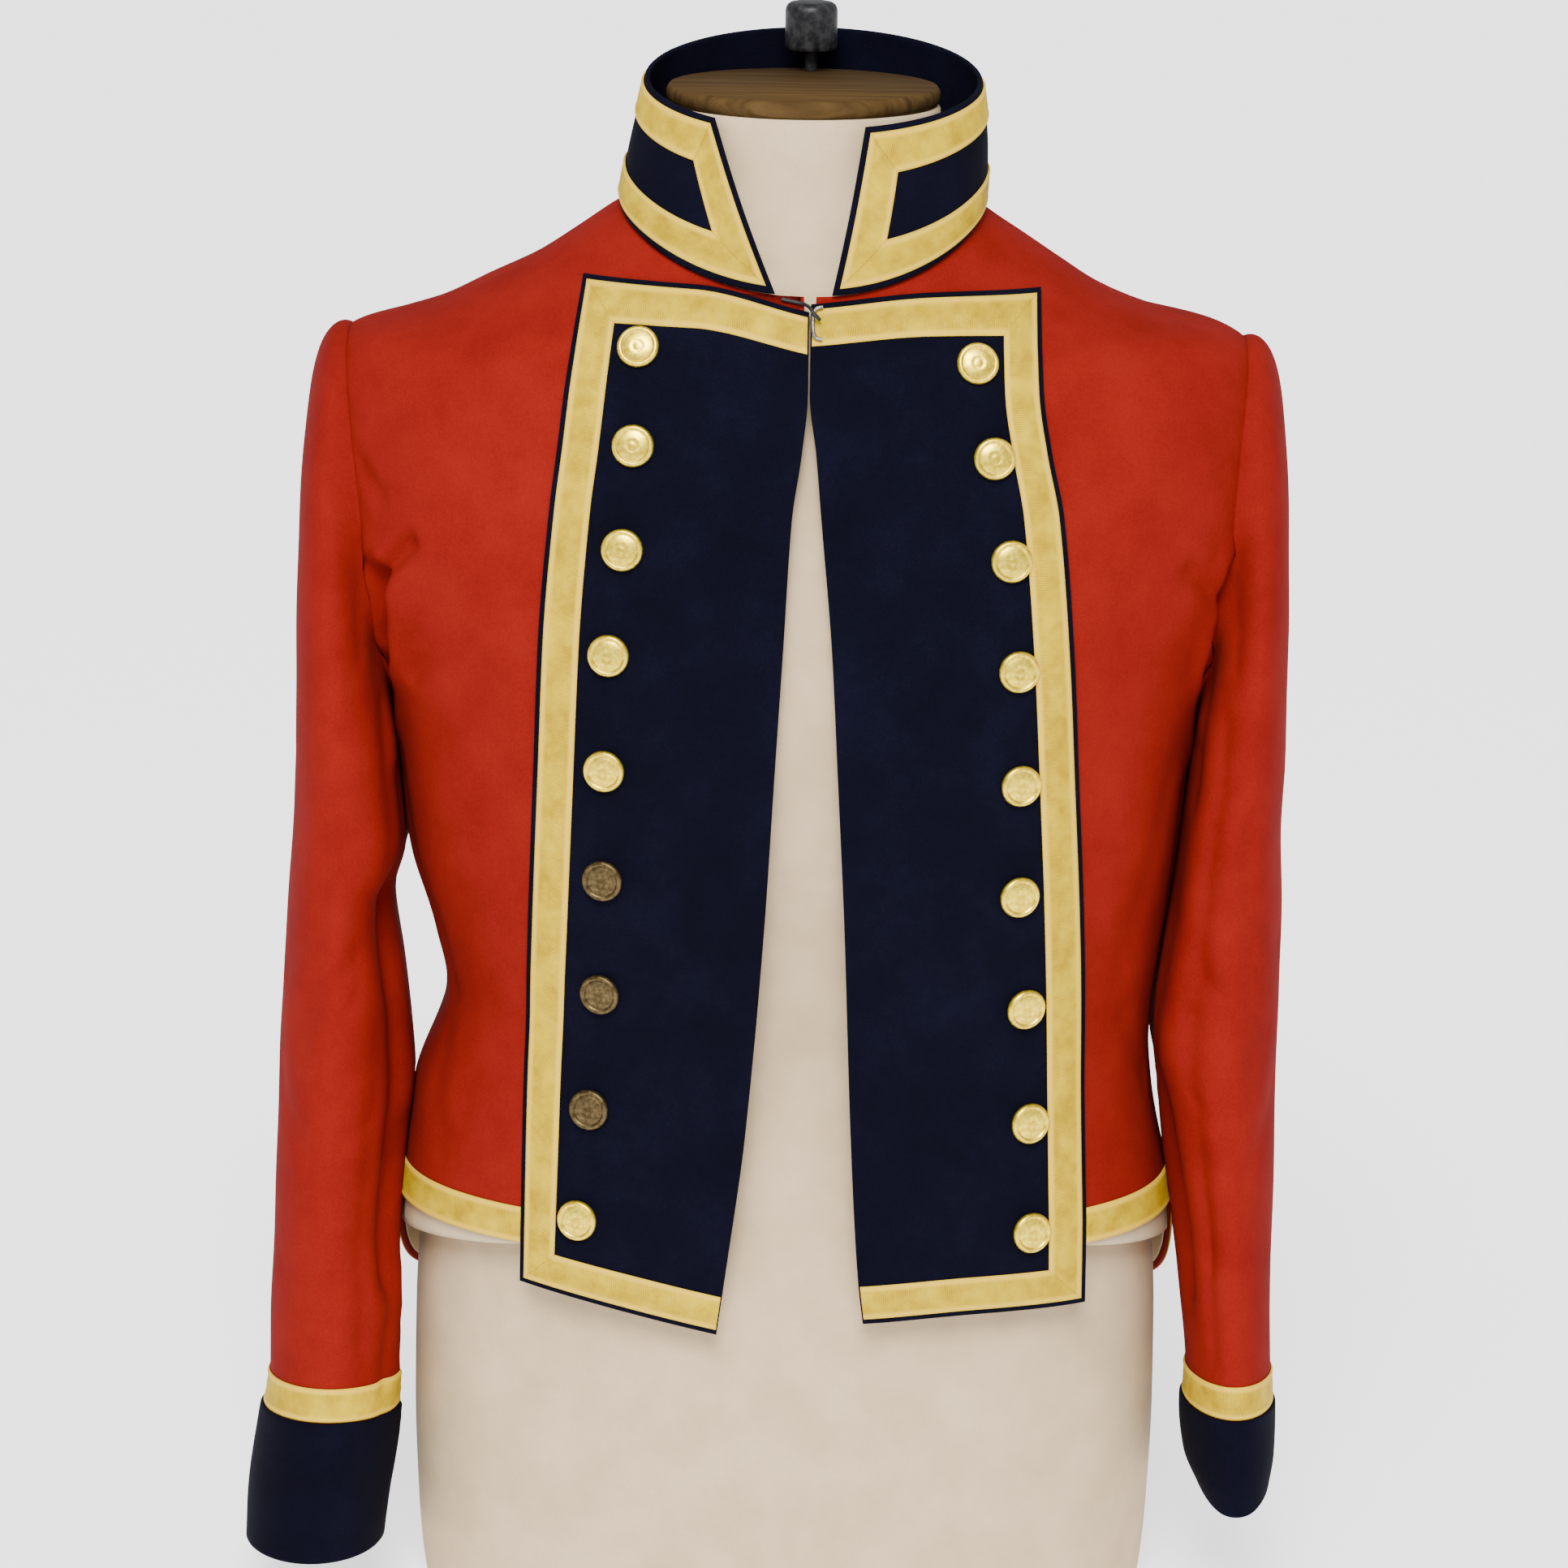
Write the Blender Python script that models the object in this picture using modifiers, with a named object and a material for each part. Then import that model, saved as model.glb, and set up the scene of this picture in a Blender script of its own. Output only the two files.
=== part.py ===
"""A hussar jacket on a limbless dress form.

The jacket is a short scarlet jacket, open at the front, with navy lapels, collar and cuffs, gold lace and
gilt buttons. Left and right are as seen from the front. The form stands on the plane z = 0, its front
faces -Y, and the origin is the middle of its underside. Sizes are in metres.
"""

import math

import bmesh
import bpy
import numpy as np
from mathutils import Vector
from mathutils.bvhtree import BVHTree

# Cloth and seams
SEAM_GAP = 0.0003
CLOTH = 0.0020
FACING = 0.0017
COLLAR_CLOTH = 0.0024
LACE = 0.0012
LACE_WIDTH = 0.0176
LACE_INSET = 0.0016
LINING = 0.0010
LAPEL_LIFT = CLOTH + SEAM_GAP
LAPEL_LACE_LIFT = LAPEL_LIFT + FACING + SEAM_GAP
RED_LACE_LIFT = CLOTH + SEAM_GAP

# Heights of the jacket's edges and of its armholes
SIDE_HEM = 0.2125
BACK_HEM = 0.125
ARMPIT = 0.470
NECK_SIDE = 0.7165
NECK_FRONT = 0.6875
NECK_BACK = 0.729
NECK_CURVE = 1.5
COLLAR_SIDE_TOP = 0.777
COLLAR_TILT = 0.22

COLLAR_LENGTH = 0.42
COLLAR_HEIGHT = 0.064
COLLAR_MIDDLE = (0.0054, 0.0040)
COLLAR_SPREAD = (0.0800, 0.0690, 0.0)
COLLAR_LEFT = math.radians(234)
COLLAR_RIGHT = math.radians(-72)
COLLAR_BULGE = 0.0022
COLLAR_SEAT = 0.0008
COLLAR_START = {"left": 0.10, "right": 0.06}
COLLAR_STEPS = 26

# A panel's rows, as shares of its height: where the armhole starts, and where the neck does
ARM_ROW = 0.4446
NECK_ROW = 0.78
SHOULDER_MIDDLE = 0.688
SEAM_TRIM = 0.0008
OVERHANG = 0.0025
HEM_STEP = 0.06
HEM_DIP = 4.0
HEM_BAND = 0.0182
HEM_EVEN_ROW = 0.30

# The rows and columns of the fronts, which the lapels on them share: rows up the lapel, then up the neck.
# Both start with the margin outside the lace. The next row is the inner edge of the lace, and the next two
# columns are the step in the hem and the inner edge of the lace.
LAPEL_ROWS = np.array(
    [0, 0.0034, 0.039, 0.11, 0.21, 0.33, 0.45, 0.57, 0.64, 0.71, 0.78, 0.84, 0.89, 0.93, 0.961, 0.9966, 1]
)
LAPEL_COLUMNS = np.array([0.0, 0.0145, HEM_STEP, 0.15, 0.36, 0.57, 0.79, 0.9855, 1.0])
LACE_ROW = LAPEL_ROWS[2] * NECK_ROW
PANEL_ROWS = np.concatenate([LAPEL_ROWS[:-1] * NECK_ROW, np.linspace(NECK_ROW, 1, 8)])
FRONT_COLUMNS = np.concatenate([(1 - LAPEL_COLUMNS[::-1]) / 2, np.linspace(0.5, 1, 6)[1:]])
BACK_COLUMNS = np.linspace(0, 1, 9)

BUTTON_RADIUS = 0.0102
BUTTON_DOME = 0.0022
BUTTON_RIM = 0.0016
BUTTON_SIDES = 12
BUTTON_COUNT = 9
BUTTON_PROFILE = (
    # share of the radius, share of the rim's height, share of the dome's height
    (0.00, 1.0, 1.0),
    (0.60, 1.0, 0.7),
    (0.96, 1.0, 0.0),
    (1.00, 0.5, 0.0),
    (0.92, 0.0, 0.0),
    (0.00, 0.0, 0.0),
)
SEAT_SHARES = (0.0, 0.5, 0.95)

UPWARD = np.array([0.0, 0.0, 1.0])


class Table:
    """Rows of sizes under named columns, read along a smooth curve through the rows."""

    def __init__(self, columns, *rows):
        names = columns.split()
        self.steps = np.array([row[0] for row in rows])
        self.values = {name: np.array([row[i] for row in rows]) for i, name in enumerate(names)}
        self.slopes = {name: self.slope(values) for name, values in self.values.items()}

    def slope(self, values):
        """The slope at each row, level where the values turn, so that the curve never overshoots."""
        between = np.diff(values) / np.diff(self.steps)
        slopes = np.empty(len(values))
        slopes[0], slopes[-1] = between[0], between[-1]
        before, after = between[:-1], between[1:]
        same_way = before * after > 0
        total = np.where(same_way, before + after, 1.0)
        slopes[1:-1] = np.where(same_way, 2 * before * after / total, 0.0)
        return slopes

    def at(self, name, where):
        """The column's value at a height, or at each of an array of heights."""
        where = np.asarray(where, float)
        values, slopes = self.values[name], self.slopes[name]
        row = np.clip(np.searchsorted(self.steps, where) - 1, 0, len(self.steps) - 2)
        length = self.steps[row + 1] - self.steps[row]
        t = (where - self.steps[row]) / length
        inside = np.clip(t, 0, 1)
        a, b = values[row], values[row + 1]
        sa, sb = slopes[row] * length, slopes[row + 1] * length
        curve = (
            a * (1 + 2 * inside) * (1 - inside) ** 2
            + sa * inside * (1 - inside) ** 2
            + b * inside**2 * (3 - 2 * inside)
            + sb * inside**2 * (inside - 1)
        )
        return curve + np.minimum(t, 0) * sa + np.maximum(t - 1, 0) * sb


# The inner face of the cloth, as level sections: half widths to the left and right, depths in front and
# behind, and how square the section is in front and behind, where 2 is an ellipse.
BODY = Table(
    "height left right front behind square back_square",
    (0.100, 0.1990, 0.1990, 0.127, 0.124, 2.30, 3.00),
    (0.170, 0.1975, 0.1970, 0.127, 0.120, 2.30, 3.00),
    (0.205, 0.1955, 0.1945, 0.1265, 0.116, 2.30, 2.90),
    (0.225, 0.1930, 0.1920, 0.126, 0.113, 2.30, 2.70),
    (0.245, 0.1905, 0.1892, 0.125, 0.108, 2.30, 2.50),
    (0.270, 0.1870, 0.1860, 0.124, 0.102, 2.30, 2.35),
    (0.315, 0.1750, 0.1832, 0.123, 0.094, 2.30, 2.30),
    (0.350, 0.1780, 0.1860, 0.125, 0.096, 2.30, 2.30),
    (0.400, 0.1900, 0.1920, 0.127, 0.103, 2.35, 2.35),
    (0.470, 0.1975, 0.1990, 0.126, 0.111, 2.40, 2.40),
    (0.530, 0.2140, 0.2160, 0.120, 0.115, 2.45, 2.45),
    (0.590, 0.2280, 0.2290, 0.110, 0.114, 2.40, 2.40),
    (0.630, 0.2330, 0.2300, 0.101, 0.108, 2.30, 2.30),
    (0.642, 0.2290, 0.2265, 0.0972, 0.1052, 2.20, 2.20),
    (0.6505, 0.2206, 0.2195, 0.0938, 0.1027, 2.15, 2.15),
    (0.656, 0.2012, 0.2095, 0.0915, 0.1008, 2.20, 2.20),
    (0.662, 0.1810, 0.1810, 0.0890, 0.0986, 2.30, 2.30),
    (0.675, 0.1545, 0.1490, 0.0838, 0.0937, 2.20, 2.20),
    (0.687, 0.1300, 0.1300, 0.0790, 0.0890, 2.10, 2.10),
    (0.699, 0.1116, 0.1120, 0.0745, 0.0840, 2.05, 2.05),
    (0.7115, 0.0937, 0.0930, 0.0702, 0.0785, 2.00, 2.00),
    (0.7180, 0.0835, 0.0845, 0.0682, 0.0755, 2.00, 2.00),
    (0.7300, 0.0750, 0.0760, 0.0650, 0.0700, 2.00, 2.00),
    (0.7400, 0.0700, 0.0710, 0.0630, 0.0655, 2.00, 2.00),
)

# How far out from the middle each armhole is cut.
ARMHOLE = {
    "left": Table(
        "height across",
        (0.470, 0.1975),
        (0.480, 0.1981),
        (0.500, 0.2008),
        (0.541, 0.2075),
        (0.598, 0.2150),
        (0.6505, 0.2206),
    ),
    "right": Table(
        "height across",
        (0.470, 0.1990),
        (0.480, 0.1996),
        (0.500, 0.2024),
        (0.548, 0.2105),
        (0.604, 0.2150),
        (0.6505, 0.2195),
    ),
}

# Each lapel: its outer and centre edges, as distances to its own side of the middle.
LAPEL = {
    "left": Table(
        "height outer centre",
        (0.170, 0.1298, 0.0338),
        (0.205, 0.1294, 0.0292),
        (0.278, 0.1286, 0.0202),
        (0.385, 0.1261, 0.0123),
        (0.460, 0.1238, 0.0085),
        (0.520, 0.1224, 0.0053),
        (0.582, 0.1179, 0.0020),
        (0.612, 0.1144, -0.0022),
        (0.640, 0.1112, -0.0047),
        (0.690, 0.1027, -0.0047),
    ),
    "right": Table(
        "height outer centre",
        (0.170, 0.1475, 0.0400),
        (0.205, 0.1473, 0.0356),
        (0.278, 0.1456, 0.0308),
        (0.385, 0.1414, 0.0260),
        (0.460, 0.1371, 0.0216),
        (0.520, 0.1335, 0.0179),
        (0.582, 0.1278, 0.0119),
        (0.612, 0.1215, 0.0090),
        (0.640, 0.1171, 0.0055),
        (0.690, 0.1150, 0.0055),
    ),
}

# The lapels' lower and upper ends, across from the outer edge (0) to the centre edge (1).
LAPEL_ENDS = {
    "left": Table(
        "across bottom top",
        (0.0, 0.1936, 0.6867),
        (0.5, 0.1847, 0.6872),
        (1.0, 0.1753, 0.6765),
    ),
    "right": Table(
        "across bottom top",
        (0.0, 0.1832, 0.6825),
        (0.5, 0.1843, 0.6844),
        (1.0, 0.1817, 0.6801),
    ),
}

# The buttons, from the top down.
BUTTONS = {
    "left": Table(
        "number across height",
        (1, 0.0762, 0.6583),
        (2, 0.0781, 0.6142),
        (3, 0.0825, 0.5655),
        (4, 0.0883, 0.5151),
        (5, 0.0896, 0.4589),
        (6, 0.0899, 0.4041),
        (7, 0.0906, 0.3456),
        (8, 0.0954, 0.2854),
        (9, 0.1010, 0.2290),
    ),
    "right": Table(
        "number across height",
        (1, 0.0850, 0.6530),
        (2, 0.0937, 0.6103),
        (3, 0.1026, 0.5622),
        (4, 0.1070, 0.5094),
        (5, 0.1088, 0.4533),
        (6, 0.1093, 0.3974),
        (7, 0.1138, 0.3389),
        (8, 0.1172, 0.2792),
        (9, 0.1193, 0.2237),
    ),
}

# Each sleeve below the armhole, as flat rings down the arm: nearest and farthest from the middle, the fore
# and aft middle, half the depth, and how much the ring rises towards the front.
SLEEVE = {
    "left": Table(
        "height inner outer middle depth rise",
        (0.033, 0.2065, 0.2685, -0.048, 0.049, 0.13),
        (0.052, 0.2045, 0.2680, -0.045, 0.050, 0.13),
        (0.098, 0.1995, 0.2625, -0.038, 0.052, 0.13),
        (0.120, 0.1985, 0.2590, -0.034, 0.054, 0.13),
        (0.157, 0.1985, 0.2584, -0.028, 0.058, 0.12),
        (0.198, 0.2025, 0.2570, -0.021, 0.062, 0.10),
        (0.240, 0.2000, 0.2560, -0.014, 0.066, 0.07),
        (0.281, 0.1965, 0.2551, -0.008, 0.069, 0.04),
        (0.321, 0.1970, 0.2533, -0.003, 0.072, 0.02),
        (0.362, 0.1985, 0.2511, 0.001, 0.075, 0.00),
        (0.404, 0.1975, 0.2484, 0.003, 0.078, 0.00),
        (0.440, 0.2035, 0.2465, 0.004, 0.080, 0.00),
    ),
    "right": Table(
        "height inner outer middle depth rise",
        (0.062, 0.2150, 0.2440, -0.040, 0.044, 0.12),
        (0.080, 0.2090, 0.2460, -0.038, 0.047, 0.12),
        (0.105, 0.2068, 0.2466, -0.034, 0.050, 0.12),
        (0.127, 0.2080, 0.2457, -0.031, 0.053, 0.12),
        (0.163, 0.2060, 0.2444, -0.026, 0.057, 0.11),
        (0.205, 0.2026, 0.2447, -0.019, 0.062, 0.09),
        (0.246, 0.1960, 0.2450, -0.013, 0.066, 0.06),
        (0.287, 0.1925, 0.2448, -0.007, 0.069, 0.04),
        (0.328, 0.1935, 0.2456, -0.003, 0.072, 0.02),
        (0.369, 0.1965, 0.2454, 0.001, 0.075, 0.00),
        (0.411, 0.2010, 0.2440, 0.003, 0.078, 0.00),
        (0.440, 0.2065, 0.2445, 0.004, 0.080, 0.00),
    ),
}
CUFF_TOP = {"left": 0.1045, "right": 0.1120}
CUFF_HANG = 0.003

# How each sleeve leaves its armhole, from the underarm (-90 degrees) over the front to the top (90): the
# way it sets off, outward and up, how far, and how far above the first ring it turns down.
SLEEVE_HEAD = Table(
    "turn outward up reach drop",
    (-90, 1.00, 0.00, 0.010, 0.012),
    (-30, 0.98, -0.20, 0.012, 0.035),
    (20, 0.96, 0.00, 0.014, 0.080),
    (90, 0.93, 0.20, 0.019, 0.165),
)
SLEEVE_HEAD_ROWS = (0.0, 0.14, 0.32, 0.52, 0.76)
SLEEVE_RADIUS = 0.055

# The largest folds of the sleeves: where each starts and ends round the arm, in degrees from the front,
# and down it, with its depth and half width. A negative depth stands out.
SLEEVE_FOLDS = (
    # turn, height, end turn, end height, depth, half width
    (-38, 0.500, -52, 0.330, 0.0040, 0.011),
    (5, 0.420, 25, 0.300, 0.0025, 0.012),
    (-20, 0.345, 40, 0.315, 0.0030, 0.010),
    (60, 0.275, 15, 0.245, 0.0022, 0.010),
    (160, 0.380, 205, 0.300, 0.0035, 0.012),
    (140, 0.300, 215, 0.285, 0.0030, 0.010),
)

# The dress form below its shoulders, in the same terms as the body of the jacket.
FORM_BELOW = (
    # height, left, right, front, behind, square
    (0.000, 0.1790, 0.1800, 0.106, 0.116, 2.25),
    (0.003, 0.1830, 0.1840, 0.110, 0.120, 2.25),
    (0.050, 0.1875, 0.1885, 0.113, 0.124, 2.25),
    (0.100, 0.1890, 0.1900, 0.114, 0.120, 2.25),
    (0.150, 0.1885, 0.1895, 0.114, 0.114, 2.25),
    (0.200, 0.1855, 0.1865, 0.111, 0.107, 2.20),
    (0.260, 0.1760, 0.1780, 0.104, 0.094, 2.20),
    (0.310, 0.1680, 0.1700, 0.099, 0.086, 2.20),
    (0.360, 0.1710, 0.1730, 0.103, 0.088, 2.20),
    (0.420, 0.1790, 0.1800, 0.114, 0.097, 2.20),
    (0.480, 0.1830, 0.1830, 0.118, 0.105, 2.25),
    (0.540, 0.1840, 0.1840, 0.111, 0.110, 2.25),
    (0.590, 0.1830, 0.1830, 0.102, 0.108, 2.20),
    (0.630, 0.1800, 0.1800, 0.092, 0.102, 2.15),
    (0.650, 0.1755, 0.1755, 0.0885, 0.098, 2.10),
)
FORM_SHOULDER_HEIGHTS = (0.664, 0.669, 0.675, 0.681, 0.687, 0.693, 0.699, 0.705, 0.7115, 0.7165)
FORM_ABOVE = (
    (0.7280, 0.0730, 0.0740, 0.0625, 0.0650, 2.00),
    (0.7420, 0.0680, 0.0690, 0.0610, 0.0620, 2.00),
    (0.7660, 0.0665, 0.0675, 0.0600, 0.0605, 2.00),
)
FORM_EASE = 0.0030
FORM_SIDES = 32
KNOB_SIDES = 16
CAP_THICKNESS = 0.0085
CAP_EDGE = 0.0015
KNOB_PLACE = (0.004, 0.050)
KNOB_RADIUS = 0.0130
KNOB_TOP = 0.8095
KNOB_UNDERSIDE = 0.7855
STEM_RADIUS = 0.0030
KNOB_UNDERCUT = 0.0006
KNOB_PROFILE = (
    # share of the radius, share of the height between the underside and the top
    (0.00, 1.00),
    (0.70, 0.97),
    (0.94, 0.89),
    (1.00, 0.76),
    (1.00, 0.10),
    (0.93, 0.00),
)

SIDES = {"left": -1.0, "right": 1.0}
NORMAL_STEP = 1e-4

# The hook and the eye, as bent wires: across to the right, up, and out from their seat on the lace
HOOK_HEIGHT = 0.6713
WIRE_RADIUS = 0.0009
WIRE_ROUNDING = 2
HOOK = (
    (-0.0085, 0.0110, -0.0035),
    (-0.0050, 0.0103, -0.0035),
    (-0.0010, 0.0096, -0.0035),
    (0.0018, 0.0088, -0.0026),
    (0.0038, 0.0074, 0.0000),
    (0.0052, 0.0058, 0.0020),
    (0.0066, 0.0036, 0.0030),
    (0.0084, 0.0020, 0.0026),
    (0.0096, 0.0010, 0.0010),
)
EYE = (
    (0.0110, 0.0070, 0.0000),
    (0.0084, 0.0064, 0.0000),
    (0.0068, 0.0040, 0.0004),
    (0.0065, 0.0000, 0.0004),
    (0.0068, -0.0046, 0.0004),
    (0.0084, -0.0072, 0.0000),
    (0.0110, -0.0078, 0.0000),
)


def material(name, colour, roughness, metallic=0.0):
    """A plain surface finish of one colour."""
    made = bpy.data.materials.new(name)
    made.use_nodes = True
    shader = made.node_tree.nodes["Principled BSDF"]
    shader.inputs["Base Color"].default_value = (*colour, 1.0)
    shader.inputs["Roughness"].default_value = roughness
    shader.inputs["Metallic"].default_value = metallic
    made.diffuse_color = (*colour, 1.0)
    return made


def body_skin(angle, height):
    """A point on the inner face of the body's cloth. The front is at -90 degrees, the right side at 0."""
    across, along = np.cos(angle), np.sin(angle)
    width = np.where(across < 0, BODY.at("left", height), BODY.at("right", height))
    depth = np.where(along < 0, BODY.at("front", height), BODY.at("behind", height))
    square = np.where(along < 0, BODY.at("square", height), BODY.at("back_square", height))
    reach = (np.abs(across) ** square + np.abs(along) ** square) ** (-1 / square)
    return np.stack([width * across * reach, depth * along * reach, height + 0 * angle], axis=-1)


def lifted(skin, a, b, lift, facing=1.0):
    """Points of a skin, moved out along its normal."""
    a, b = np.broadcast_arrays(np.asarray(a, float), np.asarray(b, float))
    along_a = skin(a + NORMAL_STEP, b) - skin(a - NORMAL_STEP, b)
    along_b = skin(a, b + NORMAL_STEP) - skin(a, b - NORMAL_STEP)
    normal = np.cross(along_a, along_b)
    normal /= np.linalg.norm(normal, axis=-1, keepdims=True)
    return skin(a, b) + normal * facing * np.asarray(lift)[..., None]


def swing(across, height, side, face):
    """The angle round the body of a point so far out from the middle, on the front or the back."""
    width = BODY.at(side, height)
    other = BODY.at("right" if side == "left" else "left", height)
    share = np.where(across >= 0, across / width, across / other)
    share = np.clip(share, -1, 1)
    square = BODY.at("square" if face == "front" else "back_square", height)
    depth = (1 - np.abs(share) ** square) ** (1 / square)
    from_middle = np.arctan2(share, depth)
    middle = -math.pi / 2 if face == "front" else math.pi / 2
    turn = SIDES[side] if face == "front" else -SIDES[side]
    return middle + turn * from_middle


def armhole(side, turn):
    """(angle, height) round an armhole. -90 degrees is the underarm, 0 the front, 90 the top."""
    top = ARMHOLE[side].steps[-1]
    height = (top + ARMPIT) / 2 + (top - ARMPIT) / 2 * np.sin(turn)
    across = np.minimum(ARMHOLE[side].at("across", height), BODY.at(side, height))
    front = swing(across, height, side, "front")
    back = swing(across, height, side, "back")
    if side == "left":
        front = front + 2 * math.pi
    return np.where(np.cos(turn) >= 0, front, back), height


def neckline(side, face, share):
    """(angle, height) along the neck seam, from the middle (0) to the shoulder seam (1)."""
    turn = (1 - share) * math.pi / 2
    if face == "front":
        end = LAPEL[side].at("centre", NECK_FRONT) + OVERHANG
        height = NECK_SIDE + (NECK_FRONT - NECK_SIDE) * np.sin(turn) ** NECK_CURVE
    else:
        end = SEAM_GAP / 2
        height = NECK_SIDE + (NECK_BACK - NECK_SIDE) * np.sin(turn) ** 2
    width = BODY.at(side, NECK_SIDE)
    across = end + (width - end) * np.cos(turn)
    across = np.minimum(across, BODY.at(side, height))
    return swing(across, height, side, face), height


def climb(foot, top, v, top_row):
    """The height on the way up from a hem: its band of lace first, and then the rest, up to a row."""
    band = HEM_BAND * np.clip(v / LACE_ROW, 0, 1)
    return foot + band + (top - foot - HEM_BAND) * np.clip((v - LACE_ROW) / (top_row - LACE_ROW), 0, 1)


def side_line(side, face, v):
    """(angle, height) up the outer edge of a body panel: the side seam, then the armhole."""
    turn = np.clip((v - ARM_ROW) / (1 - ARM_ROW), 0, 1) * math.pi - math.pi / 2
    arm_angle, arm_height = armhole(side, turn if face == "front" else math.pi - turn)
    if side == "left" and face == "front":
        arm_angle = arm_angle - 2 * math.pi
    seam_angle = swing(np.asarray(1.0), np.asarray(ARMPIT), side, face)
    below = v < ARM_ROW
    seam_height = climb(SIDE_HEM, ARMPIT, v, ARM_ROW)
    return np.where(below, seam_angle, arm_angle), np.where(below, seam_height, arm_height)


def lapel_place(side, p, q):
    """(angle, height) on a lapel: p runs from its outer edge to its centre edge, q up it."""
    bottom, top = (LAPEL_ENDS[side].at(name, p) for name in ("bottom", "top"))
    height = bottom + (top - bottom) * q
    outer, centre = (LAPEL[side].at(name, height) for name in ("outer", "centre"))
    return swing(outer + (centre - outer) * p, height, side, "front"), height


def under_lapel(side, p, q):
    """The same on the front below it, which ends an overhang short of the lapel's centre and lower edges.

    Where the lapel leaves it, the front stops at the hem line of the side, with its own band of lace.
    """
    bottom, top = (LAPEL_ENDS[side].at(name, p) for name in ("bottom", "top"))
    height = bottom + (top - bottom) * q
    lace_q, next_q = LAPEL_ROWS[2:4]
    short = height + OVERHANG * np.clip(1 - q / lace_q, 0, 1)
    second = bottom + (top - bottom) * next_q
    band = SIDE_HEM + HEM_BAND * q / lace_q
    over = np.clip((q - lace_q) / (next_q - lace_q), 0, 1)
    rising = SIDE_HEM + HEM_BAND + (second - SIDE_HEM - HEM_BAND) * over
    outside = np.where(q < lace_q, band, np.where(q < next_q, rising, height))
    height = np.where(p < HEM_STEP, outside, short)
    return swing(under_across(side, p, height), height, side, "front"), height


def under_across(side, p, height):
    """How far out the front below a lapel reaches at p."""
    outer, centre = (LAPEL[side].at(name, height) for name in ("outer", "centre"))
    drawn_in = OVERHANG * np.clip((p - LAPEL_COLUMNS[-3]) / (1 - LAPEL_COLUMNS[-3]), 0, 1)
    return outer + (centre - outer) * p + drawn_in


def mix(first, second, share):
    """The (angle, height) so far between two others."""
    return tuple(a + (b - a) * share for a, b in zip(first, second))


def front_place(side, u, v):
    """(angle, height) on a front: u runs under the lapel to 0.5 and on to the side, v up to the shoulder."""
    u, v = np.broadcast_arrays(np.asarray(u, float), np.asarray(v, float))
    q = np.clip(v / NECK_ROW, 0, 1)
    above = np.clip((v - NECK_ROW) / (1 - NECK_ROW), 0, 1)
    p = np.clip(1 - 2 * u, 0, 1)
    under = under_lapel(side, p, q)
    edge = under_lapel(side, 0 * u, q)
    ridge = swing(np.asarray(1.0), np.asarray(SHOULDER_MIDDLE), side, "front")
    edge_above = mix(edge, (ridge, SHOULDER_MIDDLE), above)
    foot_angle, foot_height = mix(neckline(side, "front", 0 * u), under_lapel(side, 0 * u, 1 + 0 * u), 1 - p)
    foot_shift = swing(under_across(side, p, foot_height), foot_height, side, "front") - foot_angle
    angle, height = mix(neckline(side, "front", above), edge_above, 1 - p)
    yoke = angle + foot_shift * (1 - above) ** 2, height
    near = tuple(np.where(v < NECK_ROW, a, b) for a, b in zip(under, yoke))
    far = mix(edge_above, side_line(side, "front", v), np.clip(2 * u - 1, 0, 1))
    return tuple(np.where(u < 0.5, a, b) for a, b in zip(near, far))


def back_place(side, u, v):
    """(angle, height) on a half of the back: u runs from the middle to the side, v up to the shoulder."""
    u, v = np.broadcast_arrays(np.asarray(u, float), np.asarray(v, float))
    middle_height = climb(BACK_HEM, NECK_BACK, v, NECK_ROW)
    middle = (swing(np.asarray(SEAM_GAP / 2), middle_height, side, "back"), middle_height)
    neck = neckline(side, "back", np.clip((v - NECK_ROW) / (1 - NECK_ROW), 0, 1))
    inner = tuple(np.where(v < NECK_ROW, a, b) for a, b in zip(middle, neck))
    angle, height = mix(inner, side_line(side, "back", v), u)
    dip = (SIDE_HEM - BACK_HEM) * (u**HEM_DIP - u)
    return angle, height + dip * np.clip((HEM_EVEN_ROW - v) / (HEM_EVEN_ROW - LACE_ROW), 0, 1) ** 2


PLACES = {"front": front_place, "back": back_place}


def panel_wall(side, face, u, v, lift):
    """A point on a body panel, moved out."""
    angle, height = PLACES[face](side, u, v)
    return lifted(body_skin, angle, height, lift)


def arm_ring(side, turn, level):
    """A point on a flat ring round the arm, at a height of its middle."""
    table = SLEEVE[side]
    inner, outer, depth = (table.at(name, level) for name in ("inner", "outer", "depth"))
    x = (inner + outer) / 2 + (outer - inner) / 2 * np.sin(turn)
    y = table.at("middle", level) - depth * np.cos(turn)
    z = level + table.at("rise", level) * depth * np.cos(turn)
    return np.stack(np.broadcast_arrays(SIDES[side] * x, y, z), axis=-1)


def sleeve_skin(side, turn, down):
    """A point on the inner face of a sleeve. down runs 0 to 1 over the head, and 1 to 2 along the arm."""
    angle, height = armhole(side, turn)
    start = lifted(body_skin, angle, height, CLOTH + SEAM_GAP)
    top = SLEEVE[side].steps[-1]
    end = arm_ring(side, turn, top)
    degrees = np.degrees(turn)
    from_under = np.where(degrees > 90, 180 - degrees, degrees)
    outward, up, reach, drop = (
        SLEEVE_HEAD.at(name, from_under)[..., None] for name in ("outward", "up", "reach", "drop")
    )
    first = start + (outward * np.array([SIDES[side], 0, 0]) + up * UPWARD) * reach
    second = end + UPWARD * drop
    t = np.clip(down, 0, 1)[..., None]
    head = start * (1 - t) ** 3 + 3 * first * t * (1 - t) ** 2 + 3 * second * t**2 * (1 - t) + end * t**3
    level = top - (np.maximum(down, 1) - 1) * (top - SLEEVE[side].steps[0])
    point = np.where(t < 1, head, arm_ring(side, turn, level))
    return point + fold_push(side, turn, point)


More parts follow.
